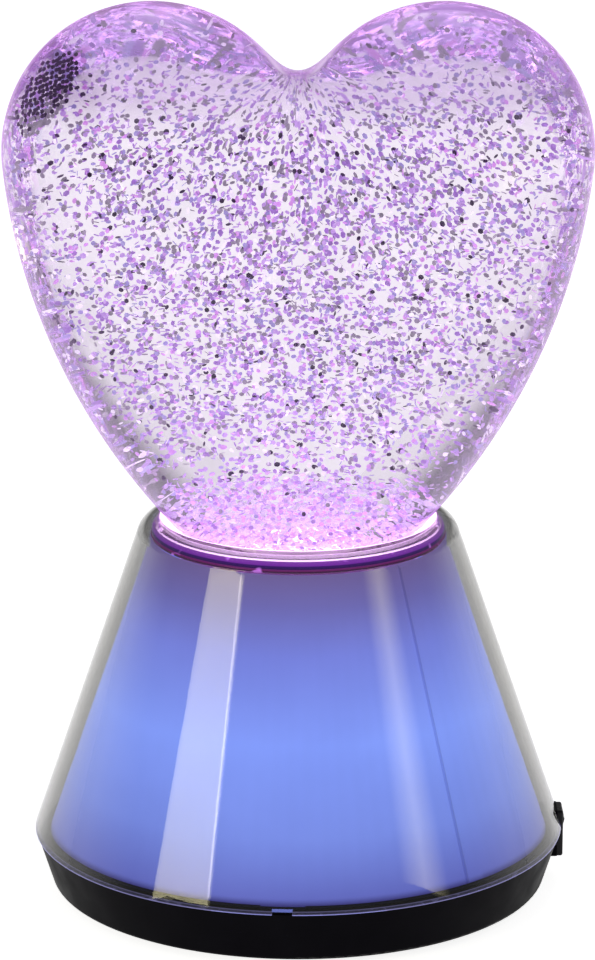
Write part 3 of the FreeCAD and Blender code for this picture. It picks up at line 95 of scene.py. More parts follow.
def noiseOn(tree, scale, detail=3.0, stretch=(1, 1, 1)):
    place = tree.nodes.new("ShaderNodeTexCoord")
    mapping = tree.nodes.new("ShaderNodeMapping")
    mapping.inputs["Scale"].default_value = stretch
    noise = tree.nodes.new("ShaderNodeTexNoise")
    noise.inputs["Scale"].default_value = scale
    noise.inputs["Detail"].default_value = detail
    tree.links.new(place.outputs["Object"], mapping.inputs["Vector"])
    tree.links.new(mapping.outputs["Vector"], noise.inputs["Vector"])
    return noise.outputs["Fac"]


def rampOf(tree, source, stops, socket=None):  # stops are (place, colour) pairs
    ramp = tree.nodes.new("ShaderNodeValToRGB")
    elements = ramp.color_ramp.elements
    while len(elements) < len(stops):
        elements.new(0.5)
    for element, (place, colour) in zip(elements, stops):
        element.position = place
        element.color = colour
    tree.links.new(source, ramp.inputs["Fac"])
    if socket:
        tree.links.new(ramp.outputs["Color"], socket)
    return ramp.outputs["Color"]


def tonesOf(tree, source, tones, span=(0.35, 0.65), socket=None):  # two tones, blended over a span
    return rampOf(tree, source, list(zip(span, tones)), socket)


def rangeOf(tree, source, fromLow, fromHigh, toLow, toHigh, socket=None):
    mapped = tree.nodes.new("ShaderNodeMapRange")
    for key, value in (("From Min", fromLow), ("From Max", fromHigh),
                       ("To Min", toLow), ("To Max", toHigh)):
        mapped.inputs[key].default_value = value
    tree.links.new(source, mapped.inputs["Value"])
    if socket:
        tree.links.new(mapped.outputs["Result"], socket)
    return mapped.outputs["Result"]


def mathOf(tree, operation, first, second=None):
    step = tree.nodes.new("ShaderNodeMath")
    step.operation = operation
    for index, value in enumerate((first, second)):
        if value is None:
            continue
        if isinstance(value, (int, float)):
            step.inputs[index].default_value = value
        else:
            tree.links.new(value, step.inputs[index])
    return step.outputs["Value"]


def mixOf(tree, share, first, second, socket=None):
    blend = tree.nodes.new("ShaderNodeMix")
    blend.data_type = "RGBA"
    tree.links.new(share, blend.inputs["Factor"])
    for key, value in (("A", first), ("B", second)):
        socketIn = next(item for item in blend.inputs if item.name == key and item.type == "RGBA")
        tree.links.new(value, socketIn)
    mixed = next(item for item in blend.outputs if item.type == "RGBA")
    if socket:
        tree.links.new(mixed, socket)
    return mixed


def within(tree, source, least, most):  # 1 between the two values, 0 outside
    return mathOf(tree, "MULTIPLY", mathOf(tree, "GREATER_THAN", source, least),
                  mathOf(tree, "LESS_THAN", source, most))


def tinted(tree, share, colour):  # black at 0, the colour at 1, brighter above
    step = tree.nodes.new("ShaderNodeVectorMath")
    step.operation = "SCALE"
    step.inputs[0].default_value = colour[:3]
    tree.links.new(share, step.inputs["Scale"])
    return step.outputs["Vector"]


def addOf(tree, first, second):
    step = tree.nodes.new("ShaderNodeVectorMath")
    step.operation = "ADD"
    tree.links.new(first, step.inputs[0])
    tree.links.new(second, step.inputs[1])
    return step.outputs["Vector"]


def bumpFrom(tree, shader, source, strength, distance):
    bump = tree.nodes.new("ShaderNodeBump")
    bump.inputs["Strength"].default_value = strength
    bump.inputs["Distance"].default_value = distance
    tree.links.new(source, bump.inputs["Height"])
    tree.links.new(bump.outputs["Normal"], shader.inputs["Normal"])


def axisOf(tree, axis):  # the piece's own X, Y or Z, in metres
    place = tree.nodes.new("ShaderNodeTexCoord")
    parts = tree.nodes.new("ShaderNodeSeparateXYZ")
    tree.links.new(place.outputs["Object"], parts.inputs["Vector"])
    return parts.outputs[axis]


def distanceTo(tree, spot, flatten=(1, 0, 1)):  # how far a spot is, leaving out the axis at 0
    place = tree.nodes.new("ShaderNodeTexCoord")
    flat = tree.nodes.new("ShaderNodeVectorMath")
    flat.operation = "MULTIPLY"
    flat.inputs[1].default_value = flatten
    away = tree.nodes.new("ShaderNodeVectorMath")
    away.operation = "DISTANCE"
    away.inputs[1].default_value = spot
    tree.links.new(place.outputs["Object"], flat.inputs[0])
    tree.links.new(flat.outputs["Vector"], away.inputs[0])
    return away.outputs["Value"]


def radiusOf(tree):  # the distance from the lamp's middle line
    return distanceTo(tree, (0, 0, 0), (1, 1, 0))


# The camera

cameraPlace = {
    "spot": (0.0, -0.900, 0.340),
    "downward": 14.65,
    "lens": 139.8,
    "sensor": 36.0,
    "shift": -0.0007,
    "nearest": 0.05,
}


def makeCamera(place):
    data = bpy.data.cameras.new("camera")
    data.lens = place["lens"]
    data.sensor_width = place["sensor"]
    data.shift_x = place["shift"]
    data.clip_start = place["nearest"]
    camera = bpy.data.objects.new("camera", data)
    camera.location = place["spot"]
    camera.rotation_euler = (math.radians(90 - place["downward"]), 0, 0)
    bpy.context.scene.collection.objects.link(camera)
    bpy.context.scene.camera = camera


makeCamera(cameraPlace)
print("camera made")


# The heart globe: the walls and the liquid as one clear body

globeShape = {
    "lobeRadius": 0.0369,
    "lobeOffset": 0.0355,
    "lobeHeight": 0.1873,
    "notchRadius": 0.0080,
    "flankAngle": 6.0,
    "depth": 0.0420,
    "crownHeight": 0.1602,
    "neckHeight": 0.0954,
    "neckRadius": 0.0322,
    "puff": 0.75,
    "valley": 0.28,
    "valleyEase": 1.5,
    "rows": 128,
    "steps": 84,
    "upperShare": 0.6,  # of the way from notch to neck: the lobes, above the flanks
    "weld": 0.00002,
}

globeNeck = {
    "seatRadius": 0.0320,
    "seatLow": 0.0934,
    "tubeRadius": 0.0294,
    "tubeLow": 0.0782,
    "boreRadius": 0.0282,
    "fillLow": 0.0812,
}


def globeCurves(shape, inset):  # the arcs of the front and side views, drawn in by the inset
    lobe, offset, lobeZ = shape["lobeRadius"], shape["lobeOffset"], shape["lobeHeight"]
    angle = math.radians(shape["flankAngle"])
    away = Vector((math.cos(angle), -math.sin(angle)))
    toNeck = Vector((shape["neckRadius"] - offset, shape["neckHeight"] - lobeZ))
    reach = toNeck.dot(away)
    flank = (toNeck.length_squared - 2 * lobe * reach + lobe ** 2) / (2 * (lobe - reach))
    notch = shape["notchRadius"] + inset
    notchZ = lobeZ + math.sqrt((lobe + shape["notchRadius"]) ** 2 - offset ** 2)
    opening = math.atan2(offset, notchZ - lobeZ)
    flankX = offset - (flank - lobe) * away.x
    end = math.acos((shape["neckRadius"] - inset - flankX) / (flank - inset))
    flankZ = lobeZ - (flank - lobe) * away.y
    draw = shape["depth"] - shape["neckRadius"]
    drop = shape["crownHeight"] - (flankZ - (flank - inset) * math.sin(end))
    return {
        "lobe": lobe - inset, "offset": offset, "lobeZ": lobeZ, "angle": angle,
        "notch": notch, "notchZ": notchZ, "opening": opening,
        "flank": flank - inset, "flankX": flankX, "flankZ": flankZ, "end": end,
        "depth": shape["depth"] - inset, "crownZ": shape["crownHeight"],
        "drop": drop, "sideArc": (drop ** 2 + draw ** 2) / (2 * draw),
        "puff": shape["puff"], "upperShare": shape["upperShare"],
        "valley": shape["valley"], "valleyEase": shape["valleyEase"],
    }


def globeSpot(curves, around, down):  # from 0 to 1: around from -X to +X, down from notch to neck
    turn = math.pi * (1 + around)
    across = 1 - math.cos(turn) ** 2
    share = min(1.0, down / curves["upperShare"])
    if share < 1:
        inNotch = curves["notch"] * curves["opening"]
        start = math.pi / 2 + curves["opening"]
        length = share * (inNotch + curves["lobe"] * (start + curves["angle"]))
        if length < inNotch:
            bend = length / curves["notch"]
            x = curves["notch"] * math.sin(bend)
            sideZ = curves["notchZ"] - curves["notch"] * math.cos(bend)
        else:
            bend = start - (length - inNotch) / curves["lobe"]
            x = curves["offset"] + curves["lobe"] * math.cos(bend)
            sideZ = curves["lobeZ"] + curves["lobe"] * math.sin(bend)
        topZ = curves["notchZ"] - curves["notch"]
        y = curves["depth"] * math.sin(share * math.pi / 2) ** curves["puff"]
        rise = abs(math.cos(share * math.pi / 2)) ** curves["puff"]
        frontZ = curves["crownZ"] + (topZ - curves["crownZ"]) * rise
    else:
        lower = (down - curves["upperShare"]) / (1 - curves["upperShare"])
        bend = curves["angle"] + (curves["end"] - curves["angle"]) * lower
        x = curves["flankX"] + curves["flank"] * math.cos(bend)
        sideZ = curves["flankZ"] - curves["flank"] * math.sin(bend)
        bend = math.asin(curves["drop"] / curves["sideArc"]) * lower
        y = curves["depth"] - curves["sideArc"] * (1 - math.cos(bend))
        frontZ = curves["crownZ"] - curves["sideArc"] * math.sin(bend)
    valley = curves["valley"] * (1 - share) ** curves["valleyEase"]
    depth = y * math.sin(turn) * (1 - valley * across ** 2)
    return Vector((x * math.cos(turn), depth, sideZ + (frontZ - sideZ) * across))


def globeSkin(shape, inset, rows, steps):  # a grid bent to the front half, then mirrored
    bm = bmesh.new()
    curves = globeCurves(shape, inset)
    bmesh.ops.create_grid(bm, x_segments=steps, y_segments=rows, size=1)
    for vertex in bm.verts:
        vertex.co = globeSpot(curves, (vertex.co.x + 1) / 2, (vertex.co.y + 1) / 2)
    geometry = bm.verts[:] + bm.edges[:] + bm.faces[:]
    bmesh.ops.mirror(bm, geom=geometry, merge_dist=shape["weld"], axis="Y")
    bmesh.ops.remove_doubles(bm, verts=bm.verts, dist=shape["weld"])
    return bm


def openRing(bm):
    return [edge for edge in bm.edges if edge.is_boundary]


def stepRing(bm, radius, height):  # carries the open ring on to a new radius and height
    ring = openRing(bm)
    made = bmesh.ops.extrude_edge_only(bm, edges=ring)
    for vertex in (item for item in made["geom"] if isinstance(item, bmesh.types.BMVert)):
        flat = Vector((vertex.co.x, vertex.co.y)).normalized() * radius
        vertex.co = (flat.x, flat.y, height)


def makeGlobe(shape, neck, material):
    bm = globeSkin(shape, 0.0, shape["rows"], shape["steps"])
    for radius, height in (
        (neck["seatRadius"], shape["neckHeight"]),
        (neck["seatRadius"], neck["seatLow"]),
        (neck["tubeRadius"], neck["seatLow"]),
        (neck["tubeRadius"], neck["tubeLow"]),
        (neck["boreRadius"], neck["tubeLow"]),
        (neck["boreRadius"], neck["fillLow"]),
    ):
        stepRing(bm, radius, height)
    bmesh.ops.contextual_create(bm, geom=openRing(bm))
    bmesh.ops.recalc_face_normals(bm, faces=bm.faces)
    return makePiece("heart_globe", bm, material,
                     standsFor=("heart_front_half", "heart_rear_half", "liquid_fill"))


globeFinish = {
    "clear": (rgb(233, 226, 236), rgb(225, 217, 230)),
    "lobesPaintedShade": (rgb(166, 144, 180), rgb(150, 130, 166)),  # the glass is tinted greyer towards the top as painted shade, and has a painted milky haze glow there
    "lobesSpan": (0.195, 0.204),
    "cloudGrain": 60,
    "paintedHaze": rgb(194, 184, 206),
    "paintedHazeGlow": 0.21,
    "milkBlur": 0.05,
    "patch": (-0.0598, 0.0, 0.2034),  # the painted haze glow is left off over the stuck flakes
    "patchReach": (0.0110, 0.0150),
    "tube": (rgb(70, 30, 90), rgb(54, 22, 72)),  # the tube that sits in the neck ring, tinted dark violet as painted shade
    "tubeSpan": (0.0770, 0.0897),
    "tubeInside": 0.0288,
    "refraction": 1.41,
    "rimSheen": 0.9,
    "rimColour": rgb(214, 150, 246),
    "rimSoftness": 0.45,
    # painted glows: pink along the seam of the halves, bright at the foot and at the seat ledge
    "seamGlowColour": rgb(250, 150, 252),
    "seamGlow": 0.20,
    "seamWidth": 0.010,
    "footGlowColour": rgb(252, 236, 255),
    "footGlow": 1.25,
    "footFade": 0.75,
    "footSpan": (0.0897, 0.0934),
    "footTurn": (0.0906, 0.0916),
    "seatGlowColour": rgb(224, 176, 240),
    "seatGlow": 0.9,
    "seatSpan": (0.0932, 0.0953),
    "ripple": 0.02,
    "rippleGrain": 45,
    "rippleDepth": 0.001,
}


def globeMaterial(finish):
    material, tree, shader = newMaterial("clear_globe")
    cloud = noiseOn(tree, finish["cloudGrain"])
    height = axisOf(tree, "Z")
    share = rangeOf(tree, height, *finish["lobesSpan"], 0.0, 1.0)
    lower = tonesOf(tree, cloud, finish["clear"])
    # the glass is tinted greyer towards the top: painted shade
    upper = tonesOf(tree, cloud, finish["lobesPaintedShade"])
    body = mixOf(tree, share, lower, upper)
    # painted shade: the tube in the neck ring is tinted dark violet
    tube = tonesOf(tree, cloud, finish["tube"])
    onTube = mathOf(tree, "MULTIPLY", within(tree, height, *finish["tubeSpan"]),
                    mathOf(tree, "GREATER_THAN", radiusOf(tree), finish["tubeInside"]))
    mixOf(tree, onTube, body, tube, shader.inputs["Base Color"])
    rangeOf(tree, share, 0.0, 1.0, 0.0, finish["milkBlur"], shader.inputs["Roughness"])
    shader.inputs["IOR"].default_value = finish["refraction"]
    shader.inputs["Transmission Weight"].default_value = 1.0
    shader.inputs["Sheen Weight"].default_value = finish["rimSheen"]
    shader.inputs["Sheen Roughness"].default_value = finish["rimSoftness"]
    shader.inputs["Sheen Tint"].default_value = finish["rimColour"]
    # painted glows in the glass, standing in for the lamps' light: along the seam, at the foot and at
    # the seat ledge
    offSeam = mathOf(tree, "ABSOLUTE", axisOf(tree, "Y"))
    seam = rangeOf(tree, offSeam, 0.0, finish["seamWidth"], finish["seamGlow"], 0.0)
    fromPatch = distanceTo(tree, finish["patch"])
    offPatch = rangeOf(tree, fromPatch, *finish["patchReach"], 0.0, finish["paintedHazeGlow"])
    # a painted milky haze glow over the top of the glass, left off over the stuck flakes
    paintedHaze = mathOf(tree, "MULTIPLY", share, offPatch)
    bright = rangeOf(tree, height, *finish["footTurn"], finish["footGlow"], finish["footFade"])
    foot = mathOf(tree, "MULTIPLY", within(tree, height, *finish["footSpan"]), bright)
    seat = mathOf(tree, "MULTIPLY", within(tree, height, *finish["seatSpan"]), finish["seatGlow"])
    upperGlow = addOf(tree, tinted(tree, seam, finish["seamGlowColour"]),
                      tinted(tree, paintedHaze, finish["paintedHaze"]))
    lowerGlow = addOf(tree, tinted(tree, foot, finish["footGlowColour"]),
                      tinted(tree, seat, finish["seatGlowColour"]))
    tree.links.new(addOf(tree, upperGlow, lowerGlow), shader.inputs["Emission Color"])
    shader.inputs["Emission Strength"].default_value = 1.0
    bumpFrom(tree, shader, noiseOn(tree, finish["rippleGrain"], 1.0), finish["ripple"],
             finish["rippleDepth"])
    return material


globe = makeGlobe(globeShape, globeNeck, globeMaterial(globeFinish))
print("globe made", len(globe.data.polygons))


# Glitter: thin six-sided flakes hanging in the liquid, one piece for each colour; the colours are
# painted light and shade, lit and shaded copies of one flake

glitterCloud = {
    "count": 12500,
    "seed": 11,
    "radius": 0.00062,
    "thickness": 0.00012,
    "sides": 6,
    "wall": 0.0024,
    "wallRows": 48,
    "wallSteps": 36,
    "margin": 0.0012,
    "low": 0.1,
    "thinFrom": 0.195,  # fewer flakes rise into the lobes
    "thinReach": 0.03,
    "thinLeast": 0.35,
    "stirredTo": 0.115,
    "stirredShare": 0.55,
    "wallShare": 0.45,
    "wallReach": 0.012,
    "chunk": 200,
}

# painted light and shade: each kind is one flake painted as lit or shaded, the dark kind painted shade
glitterKinds = {
    "glitter_lilac": {"share": 0.26, "tones": (rgb(212, 182, 230), rgb(188, 156, 212)), "glow": 0.70,
                      "paintedGlowColour": rgb(178, 144, 208)},
    "glitter_violet": {"share": 0.18, "tones": (rgb(182, 142, 210), rgb(152, 114, 186)), "glow": 0.58,
                       "paintedGlowColour": rgb(156, 118, 194)},
    "glitter_blue": {"share": 0.12, "tones": (rgb(182, 172, 216), rgb(154, 146, 196)), "glow": 0.60,
                     "paintedGlowColour": rgb(154, 146, 200)},
    "glitter_grey": {"share": 0.21, "tones": (rgb(178, 170, 182), rgb(142, 134, 146)), "glow": 0.52,
                     "paintedGlowColour": rgb(134, 129, 139)},
    "glitter_dark": {"share": 0.05, "tones": (rgb(66, 46, 82), rgb(40, 28, 54)), "glow": 0.04,
                     "paintedGlowColour": rgb(120, 60, 150)},
    "glitter_pink": {"share": 0.07, "tones": (rgb(232, 178, 236), rgb(210, 146, 222)), "glow": 0.60,
                     "paintedGlowColour": rgb(214, 152, 228)},
    "glitter_silver": {"share": 0.11, "tones": (rgb(252, 248, 254), rgb(232, 226, 240)), "glow": 0.70,
                       "paintedGlowColour": rgb(248, 244, 251)},
}

glitterFinish = {
    "grain": 700,
    "toneSpan": (0.38, 0.62),
    "metal": 0.2,
    "wearGrain": 400,
    "wearSpan": (0.3, 0.7),
    "roughness": (0.2, 0.45),
    "lowColour": rgb(200, 170, 224),  # a painted glow: the lamps under the plug tint the low flakes
    "glowSpan": (0.092, 0.150),
    "lowGlow": 1.25,
    "highGlow": 1.0,
}

glitterBed = {  # the flakes that swirl over the plug, made bright by a painted glow
    "name": "glitter_bed",
    "count": 3000,
    "seed": 5,
    "reach": 0.0262,
    "low": 0.0945,
    "high": 0.110,
    "settle": 1.5,
    "kind": {"share": 0.0, "tones": (rgb(246, 238, 250), rgb(232, 214, 242)), "glow": 0.38,
             "paintedGlowColour": rgb(234, 230, 248)},
    "shares": {"glitter_bed": 0.60, "glitter_lilac": 0.20,
               "glitter_pink": 0.10, "glitter_violet": 0.10},
}

glitterPatch = {  # flakes stuck in rows on the wall, high on the left lobe
    "middle": (-0.0598, 0.2034),
    "reach": (0.0044, 0.0118),
    "lean": -33.0,
    "rows": 14,  # each way from the middle
    "pitch": 0.00107,
    "rowStep": 0.87,
    "jitter": 0.00017,
    "ragged": (0.8, 1.1),
    "mixed": (0.1, 1.2),
    "facing": 0.7,
    "depth": 0.0006,
    "castFrom": -0.1,
    "seed": 3,
    "kinds": ("glitter_dark", "glitter_grey"),
}


def glitterMaterial(name, kind, finish):
    material, tree, shader = newMaterial(name)
    tonesOf(tree, noiseOn(tree, finish["grain"], 1.0), kind["tones"], finish["toneSpan"],
            shader.inputs["Base Color"])
    shader.inputs["Metallic"].default_value = finish["metal"]
    rangeOf(tree, noiseOn(tree, finish["wearGrain"], 1.0), *finish["wearSpan"], *finish["roughness"],
            shader.inputs["Roughness"])
    # the flakes' glow is painted light, brighter and tinted low down near the lamps
    lowest = tuple(math.sqrt(first * second)
                   for first, second in zip(finish["lowColour"], kind["paintedGlowColour"]))
    height = axisOf(tree, "Z")
    rise = rangeOf(tree, height, *finish["glowSpan"], 0.0, 1.0)
    tonesOf(tree, rise, (lowest, kind["paintedGlowColour"]), (0.0, 1.0), shader.inputs["Emission Color"])
    rangeOf(tree, height, *finish["glowSpan"], finish["lowGlow"] * kind["glow"],
            finish["highGlow"] * kind["glow"], shader.inputs["Emission Strength"])
    return material


def anyTurn(dice):
    axis = Vector((dice.gauss(0, 1), dice.gauss(0, 1), dice.gauss(0, 1))).normalized()
    return Matrix.Rotation(dice.uniform(0, math.tau), 4, axis)


def glitterPlaces(cloud):  # where the hanging flakes are, and the liquid's edge
    dice = random.Random(cloud["seed"])
    skin = globeSkin(globeShape, cloud["wall"], cloud["wallRows"], cloud["wallSteps"])
    bmesh.ops.recalc_face_normals(skin, faces=skin.faces)
    wall = BVHTree.FromBMesh(skin)
    low = [min(vertex.co[axis] for vertex in skin.verts) for axis in range(3)]
    high = [max(vertex.co[axis] for vertex in skin.verts) for axis in range(3)]
    skin.free()
    places = []
    while len(places) < cloud["count"]:
        spot = Vector(dice.uniform(low[axis], high[axis]) for axis in range(3))
        near, normal, _, gap = wall.find_nearest(spot)
        if (spot - near).dot(normal) > 0 or gap < cloud["margin"] or spot.z < cloud["low"]:
            continue
        share = 1.0
        if spot.z > cloud["thinFrom"]:
            share = max(cloud["thinLeast"], 1 - (spot.z - cloud["thinFrom"]) / cloud["thinReach"])
        if spot.z < cloud["stirredTo"]:
            share = cloud["stirredShare"]
        share *= min(1.0, cloud["wallShare"] + gap / cloud["wallReach"])
        if dice.random() < share:
            places.append(Matrix.Translation(spot) @ anyTurn(dice))
    return places, wall


def patchPlaces(patch, wall):  # rows on the front wall, the first kind more at the upper left
    dice = random.Random(patch["seed"])
    places = {kind: [] for kind in patch["kinds"]}
    pitch = patch["pitch"]
    wide, tall = patch["reach"]
    lean = Matrix.Rotation(math.radians(patch["lean"]), 2)
    for row in range(-patch["rows"], patch["rows"] + 1):
        for column in range(-patch["rows"], patch["rows"] + 1):
            flat = Vector(((column + 0.5 * (row % 2)) * pitch, row * pitch * patch["rowStep"]))
            away = flat.x / wide - flat.y / tall
            if (flat.x / wide) ** 2 + (flat.y / tall) ** 2 > dice.uniform(*patch["ragged"]):
                continue
            kind = patch["kinds"][int(away > dice.uniform(*patch["mixed"]))]
            flat = lean @ flat + Vector((dice.gauss(0, 1), dice.gauss(0, 1))) * patch["jitter"]
            start = Vector((patch["middle"][0] + flat.x, patch["castFrom"],
                            patch["middle"][1] + flat.y))
            spot, normal, _, _ = wall.ray_cast(start, Vector((0, 1, 0)))
            if spot is None:
                continue
            front = normal.lerp(Vector((0, -1, 0)), patch["facing"])
            turn = front.to_track_quat("Z", "Y").to_matrix().to_4x4()
            places[kind].append(Matrix.Translation(spot - normal * patch["depth"]) @ turn)
    return places


def bedPlaces(bed):  # more flakes low over the plug
    dice = random.Random(bed["seed"])
    reach = bed["reach"]
    places = []
    while len(places) < bed["count"]:
        spot = Vector((dice.uniform(-reach, reach), dice.uniform(-reach, reach),
                       bed["low"] + (bed["high"] - bed["low"]) * dice.random() ** bed["settle"]))
        if math.hypot(spot.x, spot.y) < reach:
            places.append(Matrix.Translation(spot) @ anyTurn(dice))
    return places


def flakesAt(places, cloud):  # in chunks, because one long run of cones grows slow
    whole = bmesh.new()
    for first in range(0, len(places), cloud["chunk"]):
        part = bmesh.new()
        for place in places[first:first + cloud["chunk"]]:
            bmesh.ops.create_cone(part, cap_ends=True, segments=cloud["sides"],
                                  radius1=cloud["radius"], radius2=cloud["radius"],
                                  depth=cloud["thickness"], matrix=place)
        mesh = bpy.data.meshes.new("part")
        part.to_mesh(mesh)
        part.free()
        whole.from_mesh(mesh)
        bpy.data.meshes.remove(mesh)
    return whole


def makeGlitter(cloud, kinds, patch, bed, finish):
    hanging, wall = glitterPlaces(cloud)
    stuck = patchPlaces(patch, wall)
    swirl = bedPlaces(bed)
    for name, kind in {**kinds, bed["name"]: bed["kind"]}.items():
        count = round(kind["share"] * cloud["count"])
        own, hanging = hanging[:count], hanging[count:]
        count = round(bed["shares"].get(name, 0.0) * bed["count"])
        more, swirl = swirl[:count], swirl[count:]
        flakes = flakesAt(own + more + stuck.get(name, []), cloud)
        makePiece(name, flakes, glitterMaterial(name, kind, finish),
                  standsFor=("glitter_flakes",), sharpAngle=None)


makeGlitter(glitterCloud, glitterKinds, glitterPatch, glitterBed, glitterFinish)
print("glitter made")


# Finishes of the pieces that come from the CAD; a glowSpan is the lowest and highest Z of its glow.
# Only the lamps glow for real; the glows of the shell, ring, impeller, film and plug are painted light

finishBasics = {
    "clearBumpDepth": 0.0005,
    "solidBumpDepth": 0.0002,
    "solidSpan": (0.3, 0.7),
    "wearShare": 1.7,  # the grain of the wear against that of the tones
    "coatRoughness": 0.08,
    "gloss": 0.5,
}


def glowByHeight(tree, finish):
    rise = rangeOf(tree, axisOf(tree, "Z"), *finish["glowSpan"], 0.0, 1.0)
    return rampOf(tree, rise, finish["glow"])


def clearFinish(name, finish, basics=finishBasics):
    material, tree, shader = newMaterial(name)
    tonesOf(tree, noiseOn(tree, finish["grain"]), finish["tones"], socket=shader.inputs["Base Color"])
    shader.inputs["Roughness"].default_value = finish["roughness"]
    shader.inputs["IOR"].default_value = finish["refraction"]
    shader.inputs["Transmission Weight"].default_value = finish["clear"]
    bumpFrom(tree, shader, noiseOn(tree, finish["ripple"], 1.0), finish["bump"],
             basics["clearBumpDepth"])
    if "smoke" in finish:
        smoke = tree.nodes.new("ShaderNodeVolumeAbsorption")
        smoke.inputs["Color"].default_value = finish["smoke"]
        smoke.inputs["Density"].default_value = finish["smokeDensity"]
        output = next(node for node in tree.nodes if node.type == "OUTPUT_MATERIAL")
        tree.links.new(smoke.outputs["Volume"], output.inputs["Volume"])
    glow = glowByHeight(tree, finish)
    # a painted glow inside a radius
    if "innerGlow" in finish:
        inner = mathOf(tree, "LESS_THAN", radiusOf(tree), finish["innerRadius"])
        inner = mathOf(tree, "MULTIPLY", inner, finish["innerStrength"])
        glow = addOf(tree, glow, tinted(tree, inner, finish["innerGlow"]))
    # painted glints
    if "glint" in finish:
        speckle = noiseOn(tree, finish["glintGrain"], 1.0)
        spots = rangeOf(tree, speckle, *finish["glintSpan"], 0.0, 1.0)
        glow = addOf(tree, glow, tinted(tree, spots, finish["glint"]))
    tree.links.new(glow, shader.inputs["Emission Color"])
    shader.inputs["Emission Strength"].default_value = finish["glowStrength"]
    return material


def solidFinish(name, finish, basics=finishBasics):
    material, tree, shader = newMaterial(name)
    mottle = noiseOn(tree, finish["grain"], 4.0, finish.get("stretch", (1, 1, 1)))
    tonesOf(tree, mottle, finish["tones"], basics["solidSpan"], shader.inputs["Base Color"])
    wear = noiseOn(tree, finish["grain"] * basics["wearShare"])
    rangeOf(tree, wear, *basics["solidSpan"], *finish["roughness"], shader.inputs["Roughness"])
    shader.inputs["Metallic"].default_value = finish.get("metal", 0.0)
    shader.inputs["Coat Weight"].default_value = finish.get("coat", 0.0)
    shader.inputs["Coat Roughness"].default_value = basics["coatRoughness"]
    shader.inputs["Specular IOR Level"].default_value = finish.get("gloss", basics["gloss"])
    bumpFrom(tree, shader, noiseOn(tree, finish["bumpGrain"], 2.0), finish["bump"],
             basics["solidBumpDepth"])
    if "glow" in finish:
        tree.links.new(glowByHeight(tree, finish), shader.inputs["Emission Color"])
        shader.inputs["Emission Strength"].default_value = finish["glowStrength"]
    if "seam" in finish:  # the glow is dimmed in a thin line at the film's edge: painted shade
        seam = finish["seam"]
        forward = mathOf(tree, "MULTIPLY", axisOf(tree, "Y"), -1.0)
        turn = mathOf(tree, "ARCTAN2", axisOf(tree, "X"), forward)
        away = mathOf(tree, "ABSOLUTE", mathOf(tree, "SUBTRACT", turn, math.radians(seam["azimuth"])))
        rangeOf(tree, away, 0.5 * math.radians(seam["width"]), math.radians(seam["width"]),
                seam["share"] * finish["glowStrength"], finish["glowStrength"],
                shader.inputs["Emission Strength"])
    return material


clearFinishes = {
    "clear_shell": {
        "tones": (rgb(236, 236, 238), rgb(228, 228, 232)), "grain": 30, "roughness": 0.0,
        "refraction": 1.49, "clear": 1.0, "ripple": 25, "bump": 0.02,
        "smoke": (0.22, 0.21, 0.17, 1.0), "smokeDensity": 330.0,  # darkens its outline
        "glowSpan": (0.0149, 0.0157), "glowStrength": 1.0,  # a painted highlight line along the lip
        "glow": [(0.28, rgb(98, 96, 138)), (0.32, rgb(0, 0, 0))],
        # a painted pink glow near the opening
        "innerRadius": 0.0346, "innerGlow": rgb(226, 182, 240), "innerStrength": 2.2,
        "nodes": ("outer_shell",),
    },
    "neck_ring_violet": {
        "tones": (rgb(40, 10, 72), rgb(26, 6, 52)), "grain": 40, "roughness": 0.06, "refraction": 1.49,
        "clear": 0.0, "ripple": 60, "bump": 0.1,
        "glowSpan": (0.0907, 0.0934), "glowStrength": 1.25,
        # painted light and shade by height: lit violet bands, with dark painted shadow bands between
        # them, and a pale top edge
        "glow": [(0.0, rgb(126, 80, 126)), (0.06, rgb(58, 0, 58)), (0.17, rgb(62, 4, 64)),
                 (0.2, rgb(128, 30, 120)), (0.32, rgb(124, 24, 130)), (0.36, rgb(50, 0, 96)),
                 (0.58, rgb(66, 0, 124)), (0.64, rgb(142, 46, 200)), (0.94, rgb(160, 70, 214)),
                 (1.0, rgb(200, 150, 220))],
        # painted glints: bright violet spots from noise
        "glintGrain": 260, "glintSpan": (0.66, 0.74), "glint": rgb(214, 130, 255),
        "nodes": ("neck_ring",),
    },
    "impeller_clear": {
        "tones": (rgb(250, 240, 252), rgb(238, 225, 245)), "grain": 80, "roughness": 0.12,
        "refraction": 1.15, "clear": 0.4, "ripple": 80, "bump": 0.05,
        # a painted pink glow from the lamps
        "glowSpan": (0.08, 0.095), "glowStrength": 0.35,
        "glow": [(0.0, rgb(255, 190, 255)), (1.0, rgb(235, 170, 255))],
        "nodes": ("impeller",),
    },
    "blue_lamp": {
        "tones": (rgb(190, 205, 255), rgb(160, 180, 255)), "grain": 200, "roughness": 0.05,
        "refraction": 1.5, "clear": 0.4, "ripple": 200, "bump": 0.02,
        "glowSpan": (0.022, 0.029), "glowStrength": 3.0,
        "glow": [(0.0, rgb(90, 110, 255)), (1.0, rgb(150, 170, 255))],
        "nodes": ("lower_lamps",),
    },
    "pink_lamp": {
        "tones": (rgb(255, 190, 250), rgb(250, 160, 245)), "grain": 200, "roughness": 0.05,
        "refraction": 1.5, "clear": 0.4, "ripple": 200, "bump": 0.02,
        "glowSpan": (0.069, 0.073), "glowStrength": 3.0,
        "glow": [(0.0, rgb(250, 90, 240)), (1.0, rgb(255, 170, 250))],
        "nodes": ("upper_lamps",),
    },
}

